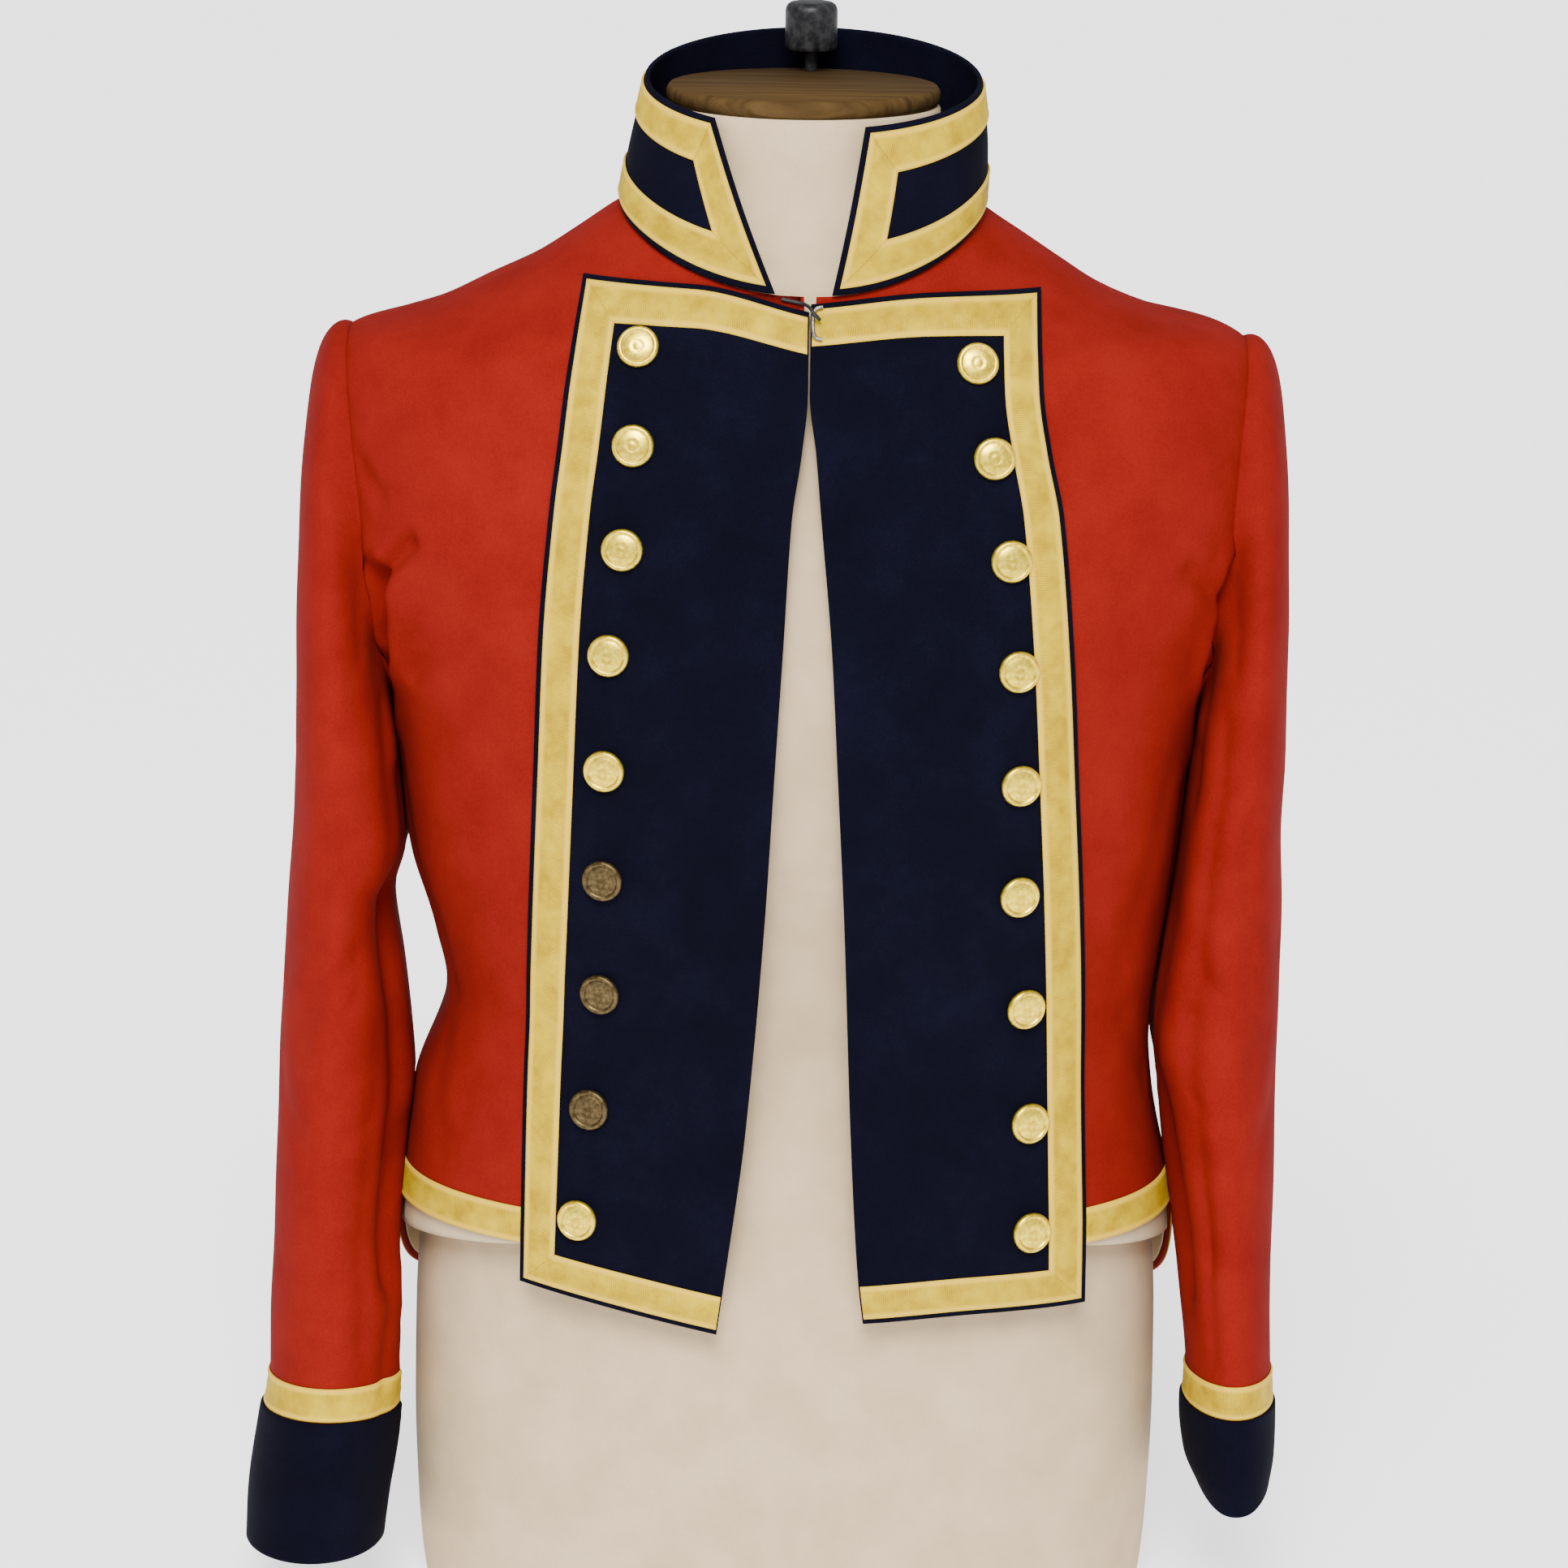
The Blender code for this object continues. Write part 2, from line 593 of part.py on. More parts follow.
def fold_push(side, turn, point):
    """How far the sleeve's folds move a point, towards or away from the middle of the arm."""
    height = point[..., 2]
    radius = SLEEVE_RADIUS
    push = np.zeros(np.shape(turn))
    for from_turn, from_height, to_turn, to_height, depth, width in SLEEVE_FOLDS:
        middle = math.radians((from_turn + to_turn) / 2)
        gap = (turn - middle + math.pi) % (2 * math.pi) - math.pi
        half = math.radians(to_turn - from_turn) / 2 * radius
        a = np.stack([gap * radius, height], axis=-1)
        start = np.array([-half, from_height])
        run = np.array([2 * half, to_height - from_height])
        share = np.clip(((a - start) @ run) / (run @ run), 0, 1)
        away = np.linalg.norm(a - start - share[..., None] * run, axis=-1)
        push += depth * np.exp(-((away / width) ** 2))
    across = np.stack([-SIDES[side] * np.sin(turn) * 0.5, np.cos(turn), 0 * turn], axis=-1)
    return across * push[..., None]


def collar_skin(u, v):
    """A point on the inner face of the collar: u runs from its left end to its right end, v up it."""
    turn = COLLAR_LEFT + (COLLAR_RIGHT - COLLAR_LEFT) * u
    outward = np.stack([np.cos(turn), np.sin(turn), 0 * u], axis=-1)
    top = np.array([COLLAR_MIDDLE[0], COLLAR_MIDDLE[1], COLLAR_SIDE_TOP]) + outward * COLLAR_SPREAD
    top[..., 2] += COLLAR_TILT * top[..., 1]
    bulge = COLLAR_BULGE * np.sin(np.pi * v)
    return collar_foot(u) * (1 - v[..., None]) + top * v[..., None] + outward * bulge[..., None]


def collar_foot(u):
    """The foot of the collar, which stands on the neck edges of the four body panels."""
    quarters = np.clip(u, 0, 1) * 4
    left, right = COLLAR_START["left"], COLLAR_START["right"]
    points = []
    for side, face, share in (
        ("left", "front", left + (1 - left) * quarters),
        ("left", "back", 2 - quarters),
        ("right", "back", quarters - 2),
        ("right", "front", right + (1 - right) * (4 - quarters)),
    ):
        angle, height = neckline(side, face, np.clip(share, 0, 1))
        points.append(lifted(body_skin, angle, height, CLOTH + COLLAR_SEAT))
    quarter = np.clip(np.floor(quarters), 0, 3).astype(int)
    return np.choose(quarter[..., None], points)


def collar_wall(u, v, lift):
    return lifted(collar_skin, u, v, lift, -1.0)


def lapel_wall(side, p, q, lift):
    angle, height = lapel_place(side, p, q)
    return lifted(body_skin, angle, height, lift)


def mesh_object(name, vertices, faces, look):
    """One closed body, with its faces turned outwards."""
    mesh = bpy.data.meshes.new(name)
    mesh.from_pydata([tuple(map(float, vertex)) for vertex in vertices], [], faces)
    shape = bmesh.new()
    shape.from_mesh(mesh)
    bmesh.ops.recalc_face_normals(shape, faces=shape.faces)
    if shape.calc_volume(signed=True) < 0:
        bmesh.ops.reverse_faces(shape, faces=shape.faces)
    shape.to_mesh(mesh)
    shape.free()
    mesh.shade_smooth()
    mesh.set_sharp_from_angle(angle=math.radians(40))
    made = bpy.data.objects.new(name, mesh)
    made.data.materials.append(look)
    parts.objects.link(made)
    return made


def wall(name, place, us, vs, low, high, look, keep=None, round_u=False):
    """A wall of cloth between two lifts of one skin, over the kept cells of a grid of u and v.

    Each cell is split along the same diagonal on every layer, so that stacked walls stay parallel, and
    along the other one where u is negative, so that the two halves of a back mirror each other.
    """
    grid_u, grid_v = np.meshgrid(us, vs, indexing="ij")
    count_u, count_v = grid_u.shape
    cells_u = count_u if round_u else count_u - 1
    if keep is None:
        keep = np.ones((cells_u, count_v - 1), bool)
    layer = count_u * count_v
    vertices = np.concatenate(
        [place(grid_u, grid_v, np.full(grid_u.shape, lift)).reshape(-1, 3) for lift in (low, high)]
    )

    def corner(i, j, layers_up=0):
        return (i % count_u) * count_v + j + layer * layers_up

    def kept(i, j):
        if round_u:
            i %= cells_u
        return 0 <= i < cells_u and 0 <= j < count_v - 1 and keep[i, j]

    faces = []
    for i in range(cells_u):
        for j in range(count_v - 1):
            if not keep[i, j]:
                continue
            around = [(i, j), (i + 1, j), (i + 1, j + 1), (i, j + 1)]
            turn = 1 if us[i] < 0 else 0
            split = around[turn:] + around[:turn]
            for half in (split[:3], split[2:] + split[:1]):
                faces.append([corner(a, b) for a, b in half])
                faces.append([corner(a, b, 1) for a, b in half[::-1]])
            neighbours = [(i, j - 1), (i + 1, j), (i, j + 1), (i - 1, j)]
            for side, neighbour in enumerate(neighbours):
                if not kept(*neighbour):
                    start, end = around[side], around[(side + 1) % 4]
                    faces.append([corner(*end), corner(*start), corner(*start, 1), corner(*end, 1)])
    return mesh_object(name, vertices, faces, look)


def inset_steps(steps, start, end):
    """Grid steps with the first and last drawn in, to leave a gap or a margin."""
    steps = np.array(steps, float)
    steps[0] += start
    steps[-1] -= end
    return steps


def border(cells_u, cells_v, lace_cells, closed):
    """The outer cells of a grid. An open border leaves out the last cells along u."""
    keep = np.zeros((cells_u, cells_v), bool)
    keep[:lace_cells, :] = True
    keep[:, 0] = True
    keep[:, -1] = True
    if closed:
        keep[-lace_cells:, :] = True
    return keep


def body_panels():
    for side in SIDES:
        for face, columns in (("front", FRONT_COLUMNS), ("back", BACK_COLUMNS)):
            wall(
                f"{face}_{side}",
                lambda u, v, lift, side=side, face=face: panel_wall(side, face, u, v, lift),
                inset_steps(columns, 0, SEAM_TRIM),
                inset_steps(PANEL_ROWS, 0, SEAM_TRIM),
                0.0,
                CLOTH,
                scarlet,
            )


def hem_laces():
    low, high = RED_LACE_LIFT, RED_LACE_LIFT + LACE
    band = PANEL_ROWS[1:3]
    for side in SIDES:
        beyond = FRONT_COLUMNS[FRONT_COLUMNS >= 0.5]
        wall(
            f"hem_braid_{side}",
            lambda u, v, lift, side=side: panel_wall(side, "front", u, v, lift),
            inset_steps(beyond, 2 * SEAM_TRIM, SEAM_TRIM),
            band,
            low,
            high,
            gold,
        )

    half = inset_steps(BACK_COLUMNS, 0, SEAM_TRIM)
    both_halves = np.concatenate([-half[:0:-1], half])

    def place(u, v, lift):
        left = panel_wall("left", "back", np.abs(u), v, lift)
        right = panel_wall("right", "back", np.abs(u), v, lift)
        return np.where((u < 0)[..., None], left, right)

    wall("hem_braid_back", place, both_halves, band, low, high, gold)
    rows = PANEL_ROWS[1:6]
    wall("back_lining", place, both_halves, rows, -SEAM_GAP - LINING, -SEAM_GAP, cream)


def down_at(side, height):
    """The place down a sleeve of a height at the middle of its ring."""
    top, bottom = SLEEVE[side].steps[-1], SLEEVE[side].steps[0]
    return 1 + (top - height) / (top - bottom)


def sleeves_and_cuffs():
    up_the_armhole = (PANEL_ROWS[PANEL_ROWS >= ARM_ROW] - ARM_ROW) / (1 - ARM_ROW) * math.pi - math.pi / 2
    turns = np.concatenate([up_the_armhole, math.pi - up_the_armhole[-2:0:-1]])
    for side in SIDES:

        def place(turn, down, lift, side=side):
            return lifted(lambda a, b: sleeve_skin(side, a, b), turn, down, lift, -SIDES[side])

        lace_top = down_at(side, CUFF_TOP[side] + LACE_WIDTH)
        cuff_top = down_at(side, CUFF_TOP[side])
        cuff_rows = np.linspace(cuff_top, 2, 4)
        arm_rows = np.linspace(1, lace_top, 8)
        rows = np.concatenate([SLEEVE_HEAD_ROWS, arm_rows, inset_steps(cuff_rows, 0, CUFF_HANG)])
        wall(f"sleeve_{side}", place, turns, rows, 0.0, CLOTH, scarlet, round_u=True)
        low = CLOTH + SEAM_GAP
        wall(f"cuff_{side}", place, turns, cuff_rows, low, low + CLOTH, navy, round_u=True)
        rows = inset_steps([lace_top, cuff_top], 0, SEAM_TRIM)
        name = f"cuff_braid_{side}"
        wall(name, place, turns, rows, RED_LACE_LIFT, RED_LACE_LIFT + LACE, gold, round_u=True)


def collar():
    margin_u, margin_v = LACE_INSET / COLLAR_LENGTH, LACE_INSET / COLLAR_HEIGHT
    lace_u = (LACE_INSET + LACE_WIDTH) / COLLAR_LENGTH
    lace_v = (LACE_INSET + LACE_WIDTH) / COLLAR_HEIGHT
    columns = np.concatenate([[0], np.linspace(lace_u, 1 - lace_u, COLLAR_STEPS + 1), [1]])
    rows = np.array([0, lace_v, 0.5, 1 - lace_v, 1])
    wall("collar", collar_wall, columns, rows, 0.0, COLLAR_CLOTH, navy)
    keep = border(len(columns) - 1, len(rows) - 1, 1, True)
    columns = inset_steps(columns, margin_u, margin_u)
    rows = inset_steps(rows, margin_v, margin_v)
    low = COLLAR_CLOTH + SEAM_GAP
    wall("collar_braid", collar_wall, columns, rows, low, low + LACE, gold, keep)


def lapels():
    for side in SIDES:

        def place(p, q, lift, side=side):
            return lapel_wall(side, p, q, lift)

        high = LAPEL_LIFT + FACING
        inwards = LAPEL_COLUMNS[::-1]
        wall(f"lapel_{side}", place, inwards, LAPEL_ROWS, LAPEL_LIFT, high, navy)
        columns, rows = inwards[1:-1], LAPEL_ROWS[1:-1]
        keep = border(len(columns) - 1, len(rows) - 1, 2, False)[::-1]
        low = high + SEAM_GAP
        wall(f"lapel_braid_{side}", place, columns, rows, low, low + LACE, gold, keep)


def on_front(side, across, height, lift):
    """A point over the front, and the way that it faces."""
    angle = swing(np.asarray(across), np.asarray(height), side, "front")
    point = lifted(body_skin, angle, np.asarray(height), np.asarray(lift))
    facing = lifted(body_skin, angle, np.asarray(height), np.asarray(lift + 1.0)) - point
    return point, facing


def turned(name, profile, steps, look):
    """A body turned about Z from a profile that runs down its outer side, top to bottom."""
    mesh = bpy.data.meshes.new(name)
    mesh.from_pydata([(r, 0.0, z) for r, z in profile], [(i, i + 1) for i in range(len(profile) - 1)], [])
    made = bpy.data.objects.new(name, mesh)
    made.data.materials.append(look)
    parts.objects.link(made)
    screw = made.modifiers.new("Screw", "SCREW")
    screw.steps = steps
    screw.render_steps = steps
    screw.use_merge_vertices = True
    screw.merge_threshold = 0.00005
    screw.use_smooth_shade = True
    return made


def buttons():
    profile = []
    for out, rim, dome in BUTTON_PROFILE:
        profile.append((out * BUTTON_RADIUS, rim * BUTTON_RIM + dome * BUTTON_DOME))
    for side in SIDES:
        for number in range(1, BUTTON_COUNT + 1):
            across = float(BUTTONS[side].at("across", number))
            height = float(BUTTONS[side].at("height", number))
            point, facing = on_front(side, across, height, LAPEL_LIFT + FACING)
            turn = (0, math.acos(facing[2]), math.atan2(facing[1], facing[0]))
            made = turned(f"button_{side}_{number}", profile, BUTTON_SIDES, gilt)
            made.rotation_euler = turn
            made.location = seated(f"lapel_{side}", point, facing, made.rotation_euler.to_matrix())


def seated(cloth_name, point, facing, turned_by):
    """The place where a button just clears the cloth below its whole underside."""
    mesh = bpy.data.objects[cloth_name].data
    tree = BVHTree.FromPolygons([v.co for v in mesh.vertices], [p.vertices for p in mesh.polygons])
    above = Vector(point + facing * BUTTON_RADIUS)
    gaps = []
    for share in SEAT_SHARES:
        for turn in np.radians(np.arange(0, 360, 360 / BUTTON_SIDES)):
            rim = Vector((math.cos(turn), math.sin(turn), 0)) * share * BUTTON_RADIUS
            hit = tree.ray_cast(above + turned_by @ rim, Vector(-facing))
            gaps.append(hit[3])
    return above - Vector(facing) * (min(gaps) - SEAM_GAP)


def wire(name, points, radius, look):
    """A bent wire with closed ends."""
    path = bpy.data.curves.new(name, "CURVE")
    path.dimensions = "3D"
    path.bevel_depth = radius
    path.bevel_resolution = WIRE_ROUNDING
    path.use_fill_caps = True
    spline = path.splines.new("POLY")
    spline.points.add(len(points) - 1)
    for spot, point in zip(spline.points, points):
        spot.co = (*point, 1.0)
    path.materials.append(look)
    made = bpy.data.objects.new(name, path)
    parts.objects.link(made)
    return made


def hook_and_eye():
    seat = LAPEL_LACE_LIFT + LACE + SEAM_GAP + WIRE_RADIUS
    for name, rows in (("hook", HOOK), ("eye", EYE)):
        points = [on_front("right", across, HOOK_HEIGHT + up, seat + out)[0] for across, up, out in rows]
        wire(name, points, WIRE_RADIUS, steel)


def form_rows():
    """The form's sections: its own below the shoulders, and just inside the cloth where that rests on it."""
    rows = list(FORM_BELOW)
    for height in FORM_SHOULDER_HEIGHTS:
        sizes = [float(BODY.at(name, height)) - FORM_EASE for name in ("left", "right", "front", "behind")]
        rows.append((height, *sizes, float(BODY.at("square", height))))
    return rows + list(FORM_ABOVE)


def stacked_rings(name, rings, look):
    """A closed body through level rings of as many points each, from the bottom up."""
    count = len(rings[0])
    faces = [list(range(count))[::-1]]
    for ring in range(len(rings) - 1):
        for step in range(count):
            a, b = ring * count + step, ring * count + (step + 1) % count
            faces.append([a, b, b + count, a + count])
    faces.append([(len(rings) - 1) * count + step for step in range(count)])
    return mesh_object(name, np.concatenate(rings), faces, look)


def section(height, left, right, front, behind, square):
    """The points of one level section of the form."""
    angle = np.radians(np.arange(0, 360, 360 / FORM_SIDES))
    across, along = np.cos(angle), np.sin(angle)
    width = np.where(across < 0, left, right)
    depth = np.where(along < 0, front, behind)
    reach = (np.abs(across) ** square + np.abs(along) ** square) ** (-1 / square)
    return np.stack([width * across * reach, depth * along * reach, height + 0 * angle], axis=-1)


def dress_form():
    rows = form_rows()
    stacked_rings("form_torso", [section(*row) for row in rows], calico)

    top, left, right, front, behind, square = rows[-1]
    foot = top + SEAM_GAP
    levels = (
        (foot, -CAP_EDGE),
        (foot + CAP_EDGE, 0.0),
        (foot + CAP_THICKNESS - CAP_EDGE, 0.0),
        (foot + CAP_THICKNESS, -CAP_EDGE),
    )
    rings = []
    for up, grow in levels:
        rings.append(section(up, left + grow, right + grow, front + grow, behind + grow, square))
    stacked_rings("form_cap", rings, wood)

    stem_foot = foot + CAP_THICKNESS + SEAM_GAP
    tall = KNOB_TOP - KNOB_UNDERSIDE
    profile = [(out * KNOB_RADIUS, KNOB_UNDERSIDE + up * tall) for out, up in KNOB_PROFILE]
    profile += [(STEM_RADIUS, KNOB_UNDERSIDE - KNOB_UNDERCUT), (STEM_RADIUS, stem_foot), (0.0, stem_foot)]
    knob = turned("form_knob", profile, KNOB_SIDES, ebony)
    knob.location = (*KNOB_PLACE, 0.0)


for leftover in list(bpy.data.objects):
    bpy.data.objects.remove(leftover, do_unlink=True)

parts = bpy.data.collections.new("hussar_jacket")
bpy.context.scene.collection.children.link(parts)

scarlet = material("scarlet_cloth", (0.46, 0.022, 0.012), 0.90)
navy = material("navy_cloth", (0.004, 0.005, 0.016), 0.90)
gold = material("gold_lace", (0.68, 0.45, 0.11), 0.50, 0.3)
cream = material("cream_lining", (0.72, 0.68, 0.55), 0.85)
gilt = material("gilt", (0.88, 0.74, 0.38), 0.28, 1.0)
steel = material("hook_steel", (0.16, 0.15, 0.14), 0.40, 1.0)
calico = material("calico", (0.61, 0.56, 0.46), 0.90)
wood = material("neck_cap_wood", (0.20, 0.12, 0.05), 0.60)
ebony = material("knob_black", (0.012, 0.012, 0.014), 0.40)

dress_form()
body_panels()
sleeves_and_cuffs()
collar()
lapels()
hem_laces()
buttons()
hook_and_eye()
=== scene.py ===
"""The hussar jacket on its dress form, as it is seen."""

import math

import bpy
import numpy as np
from mathutils import Matrix, Vector


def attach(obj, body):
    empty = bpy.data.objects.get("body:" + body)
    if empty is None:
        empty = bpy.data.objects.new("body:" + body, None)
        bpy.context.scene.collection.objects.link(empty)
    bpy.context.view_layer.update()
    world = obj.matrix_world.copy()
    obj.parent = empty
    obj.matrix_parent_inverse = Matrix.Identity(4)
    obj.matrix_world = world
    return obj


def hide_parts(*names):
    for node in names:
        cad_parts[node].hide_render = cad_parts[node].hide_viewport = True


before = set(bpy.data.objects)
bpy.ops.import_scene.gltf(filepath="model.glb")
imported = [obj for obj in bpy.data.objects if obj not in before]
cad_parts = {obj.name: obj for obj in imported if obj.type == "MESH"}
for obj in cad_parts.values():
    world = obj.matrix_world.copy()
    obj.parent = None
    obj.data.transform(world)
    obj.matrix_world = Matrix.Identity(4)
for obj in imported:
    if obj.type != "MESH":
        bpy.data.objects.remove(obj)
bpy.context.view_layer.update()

# Cloth and seams
SEAM_GAP = 0.0003
CLOTH = 0.0020
FACING = 0.0017
COLLAR_CLOTH = 0.0024
LINING = 0.0010
LINING_GAP = 0.0003
LACE = 0.0012
LACE_WIDTH = 0.0176
LACE_INSET = 0.0016
LACE_EDGE = 0.0026
LACE_RIB = 0.0011
LAPEL_LIFT = CLOTH + SEAM_GAP
LAPEL_LACE_LIFT = LAPEL_LIFT + FACING + SEAM_GAP
RED_LACE_LIFT = CLOTH + SEAM_GAP
RIM_ROUND = 0.22

# Heights of the jacket's edges and of its armholes
SIDE_HEM = 0.2125
BACK_HEM = 0.125
ARMPIT = 0.470
NECK_SIDE = 0.7165
NECK_FRONT = 0.6838
NECK_BACK = 0.729
NECK_CURVE = 1.5
COLLAR_SIDE_TOP = 0.777
COLLAR_TILT = 0.22

# About how long and tall the collar is, and how tall a lapel, to place their lace
COLLAR_LENGTH = 0.42
COLLAR_HEIGHT = 0.064
LAPEL_TALL = 0.495

# The collar's top edge round its middle, its ends and its seat on the neck
COLLAR_MIDDLE = (0.0054, 0.0040)
COLLAR_SPREAD = (0.0800, 0.0690, 0.0)
COLLAR_LEFT = math.radians(234)
COLLAR_RIGHT = math.radians(-72)
COLLAR_BULGE = 0.0022
COLLAR_SEAT = 0.0008
COLLAR_START = {"left": 0.10, "right": 0.06}

# A panel's rows, as shares of its height: where the armhole starts, where the neck does, and where the
# back's hem no longer dips. The trim is the share left off at each seam.
ARM_ROW = 0.4446
NECK_ROW = 0.78
HEM_EVEN_ROW = 0.30
SEAM_TRIM = 0.0008
HEM_DIP = 4.0
HEM_BAND = 0.0182
SHOULDER_MIDDLE = 0.688

# The front below a lapel, as shares of the lapel: up it to the lace's inner edge and to where the front
# has left its own hem, and across it to the step in that hem and to where it starts to draw in
LACE_SHARE = 0.039
REJOIN_SHARE = 0.11
HEM_STEP = 0.06
DRAW_IN = 0.79
OVERHANG = 0.0025

# The rows of a panel at the lower and upper edges of the hem's lace
HEM_LACE_ROW = 0.0005304
LACE_ROW = LACE_SHARE * NECK_ROW

BUTTON_RADIUS = 0.0102
BUTTON_HEIGHT = 0.0038
BUTTON_COUNT = 9
BUTTON_FACE = (
    # share of the radius, share of the height
    (0.00, 0.92),
    (0.16, 0.91),
    (0.24, 0.84),
    (0.30, 0.90),
    (0.42, 0.86),
    (0.55, 0.80),
    (0.66, 0.72),
    (0.72, 0.66),
    (0.78, 0.84),
    (0.85, 0.92),
    (0.93, 0.82),
    (0.98, 0.60),
    (1.00, 0.38),
    (0.96, 0.10),
    (0.88, 0.00),
    (0.00, 0.00),
)
# Three buttons of the left front, which get a much darker gilt than the rest
DARKER_BUTTONS = (("left", 6), ("left", 7), ("left", 8))

UPWARD = np.array([0.0, 0.0, 1.0])
SIDES = {"left": -1.0, "right": 1.0}
NORMAL_STEP = 1e-4


class Table:
    """Rows of sizes under named columns, read along a smooth curve through the rows."""

    def __init__(self, columns, *rows):
        self.steps = np.array([row[0] for row in rows])
        self.values = {name: np.array([row[i] for row in rows]) for i, name in enumerate(columns.split())}
        self.slopes = {name: self.slope(values) for name, values in self.values.items()}

    def slope(self, values):
        """The slope at each row, level where the values turn, so that the curve never overshoots."""
        between = np.diff(values) / np.diff(self.steps)
        slopes = np.empty(len(values))
        slopes[0], slopes[-1] = between[0], between[-1]
        before, after = between[:-1], between[1:]
        same_way = before * after > 0
        total = np.where(same_way, before + after, 1.0)
        slopes[1:-1] = np.where(same_way, 2 * before * after / total, 0.0)
        return slopes

    def at(self, names, where):
        """A column's value at a height, or at each of an array of heights, or a list for several columns."""
        if " " in names:
            return [self.at(name, where) for name in names.split()]
        where = np.asarray(where, float)
        values, slopes = self.values[names], self.slopes[names]
        row = np.clip(np.searchsorted(self.steps, where) - 1, 0, len(self.steps) - 2)
        length = self.steps[row + 1] - self.steps[row]
        t = (where - self.steps[row]) / length
        inside = np.clip(t, 0, 1)
        a, b = values[row], values[row + 1]
        sa, sb = slopes[row] * length, slopes[row + 1] * length
        curve = (
            a * (1 + 2 * inside) * (1 - inside) ** 2
            + sa * inside * (1 - inside) ** 2
            + b * inside**2 * (3 - 2 * inside)
            + sb * inside**2 * (inside - 1)
        )
        return curve + np.minimum(t, 0) * sa + np.maximum(t - 1, 0) * sb

    def within(self, name, where):
        """A column's value, held at its end values outside the rows."""
        return self.at(name, np.clip(where, self.steps[0], self.steps[-1]))


# The inner face of the cloth, as level sections: half widths to the left and right, depths in front and
# behind, and how square the section is in front and behind, where 2 is an ellipse.
BODY = Table(
    "height left right front behind square back_square",
    (0.100, 0.1990, 0.1990, 0.127, 0.124, 2.30, 3.00),
    (0.170, 0.1975, 0.1970, 0.127, 0.120, 2.30, 3.00),
    (0.205, 0.1955, 0.1945, 0.1265, 0.116, 2.30, 2.90),
    (0.225, 0.1930, 0.1920, 0.126, 0.113, 2.30, 2.70),
    (0.245, 0.1905, 0.1892, 0.125, 0.108, 2.30, 2.50),
    (0.270, 0.1870, 0.1860, 0.124, 0.102, 2.30, 2.35),
    (0.315, 0.1750, 0.1832, 0.123, 0.094, 2.30, 2.30),
    (0.350, 0.1780, 0.1860, 0.125, 0.096, 2.30, 2.30),
    (0.400, 0.1900, 0.1920, 0.127, 0.103, 2.35, 2.35),
    (0.470, 0.1975, 0.1990, 0.126, 0.111, 2.40, 2.40),
    (0.530, 0.2140, 0.2160, 0.120, 0.115, 2.45, 2.45),
    (0.590, 0.2280, 0.2290, 0.110, 0.114, 2.40, 2.40),
    (0.630, 0.2330, 0.2300, 0.101, 0.108, 2.30, 2.30),
    (0.642, 0.2290, 0.2265, 0.0972, 0.1052, 2.20, 2.20),
    (0.6505, 0.2206, 0.2195, 0.0938, 0.1027, 2.15, 2.15),
    (0.656, 0.2012, 0.2095, 0.0915, 0.1008, 2.20, 2.20),
    (0.662, 0.1810, 0.1810, 0.0890, 0.0986, 2.30, 2.30),
    (0.675, 0.1545, 0.1490, 0.0838, 0.0937, 2.20, 2.20),
    (0.687, 0.1300, 0.1300, 0.0790, 0.0890, 2.10, 2.10),
    (0.699, 0.1116, 0.1120, 0.0745, 0.0840, 2.05, 2.05),
    (0.7115, 0.0937, 0.0930, 0.0702, 0.0785, 2.00, 2.00),
    (0.7180, 0.0835, 0.0845, 0.0682, 0.0755, 2.00, 2.00),
    (0.7300, 0.0750, 0.0760, 0.0650, 0.0700, 2.00, 2.00),
    (0.7400, 0.0700, 0.0710, 0.0630, 0.0655, 2.00, 2.00),
)

# How far out from the middle each armhole is cut.
ARMHOLE = {
    "left": Table(
        "height across",
        (0.470, 0.1975),
        (0.480, 0.1981),
        (0.500, 0.2008),
        (0.541, 0.2075),
        (0.598, 0.2150),
        (0.6505, 0.2206),
    ),
    "right": Table(
        "height across",
        (0.470, 0.1990),
        (0.480, 0.1996),
        (0.500, 0.2024),
        (0.548, 0.2105),
        (0.604, 0.2150),
        (0.6505, 0.2195),
    ),
}

# Each lapel: its outer and centre edges, as distances to its own side of the middle.
LAPEL = {
    "left": Table(
        "height outer centre",
        (0.170, 0.1298, 0.0338),
        (0.205, 0.1294, 0.0292),
        (0.278, 0.1286, 0.0202),
        (0.385, 0.1261, 0.0123),
        (0.460, 0.1238, 0.0085),
        (0.520, 0.1224, 0.0053),
        (0.582, 0.1179, 0.0020),
        (0.612, 0.1144, -0.0022),
        (0.640, 0.1112, -0.0047),
        (0.690, 0.1027, -0.0047),
    ),
    "right": Table(
        "height outer centre",
        (0.170, 0.1475, 0.0400),
        (0.205, 0.1473, 0.0356),
        (0.278, 0.1456, 0.0308),
        (0.385, 0.1414, 0.0260),
        (0.460, 0.1371, 0.0216),
        (0.520, 0.1335, 0.0179),
        (0.582, 0.1278, 0.0119),
        (0.612, 0.1215, 0.0090),
        (0.640, 0.1171, 0.0055),
        (0.690, 0.1150, 0.0055),
    ),
}

# The lapels' lower and upper ends, across from the outer edge (0) to the centre edge (1).
LAPEL_ENDS = {
    "left": Table(
        "across bottom top",
        (0.0, 0.1936, 0.6867),
        (0.5, 0.1847, 0.6872),
        (1.0, 0.1753, 0.6765),
    ),
    "right": Table(
        "across bottom top",
        (0.0, 0.1832, 0.6825),
        (0.5, 0.1843, 0.6844),
        (1.0, 0.1817, 0.6801),
    ),
}

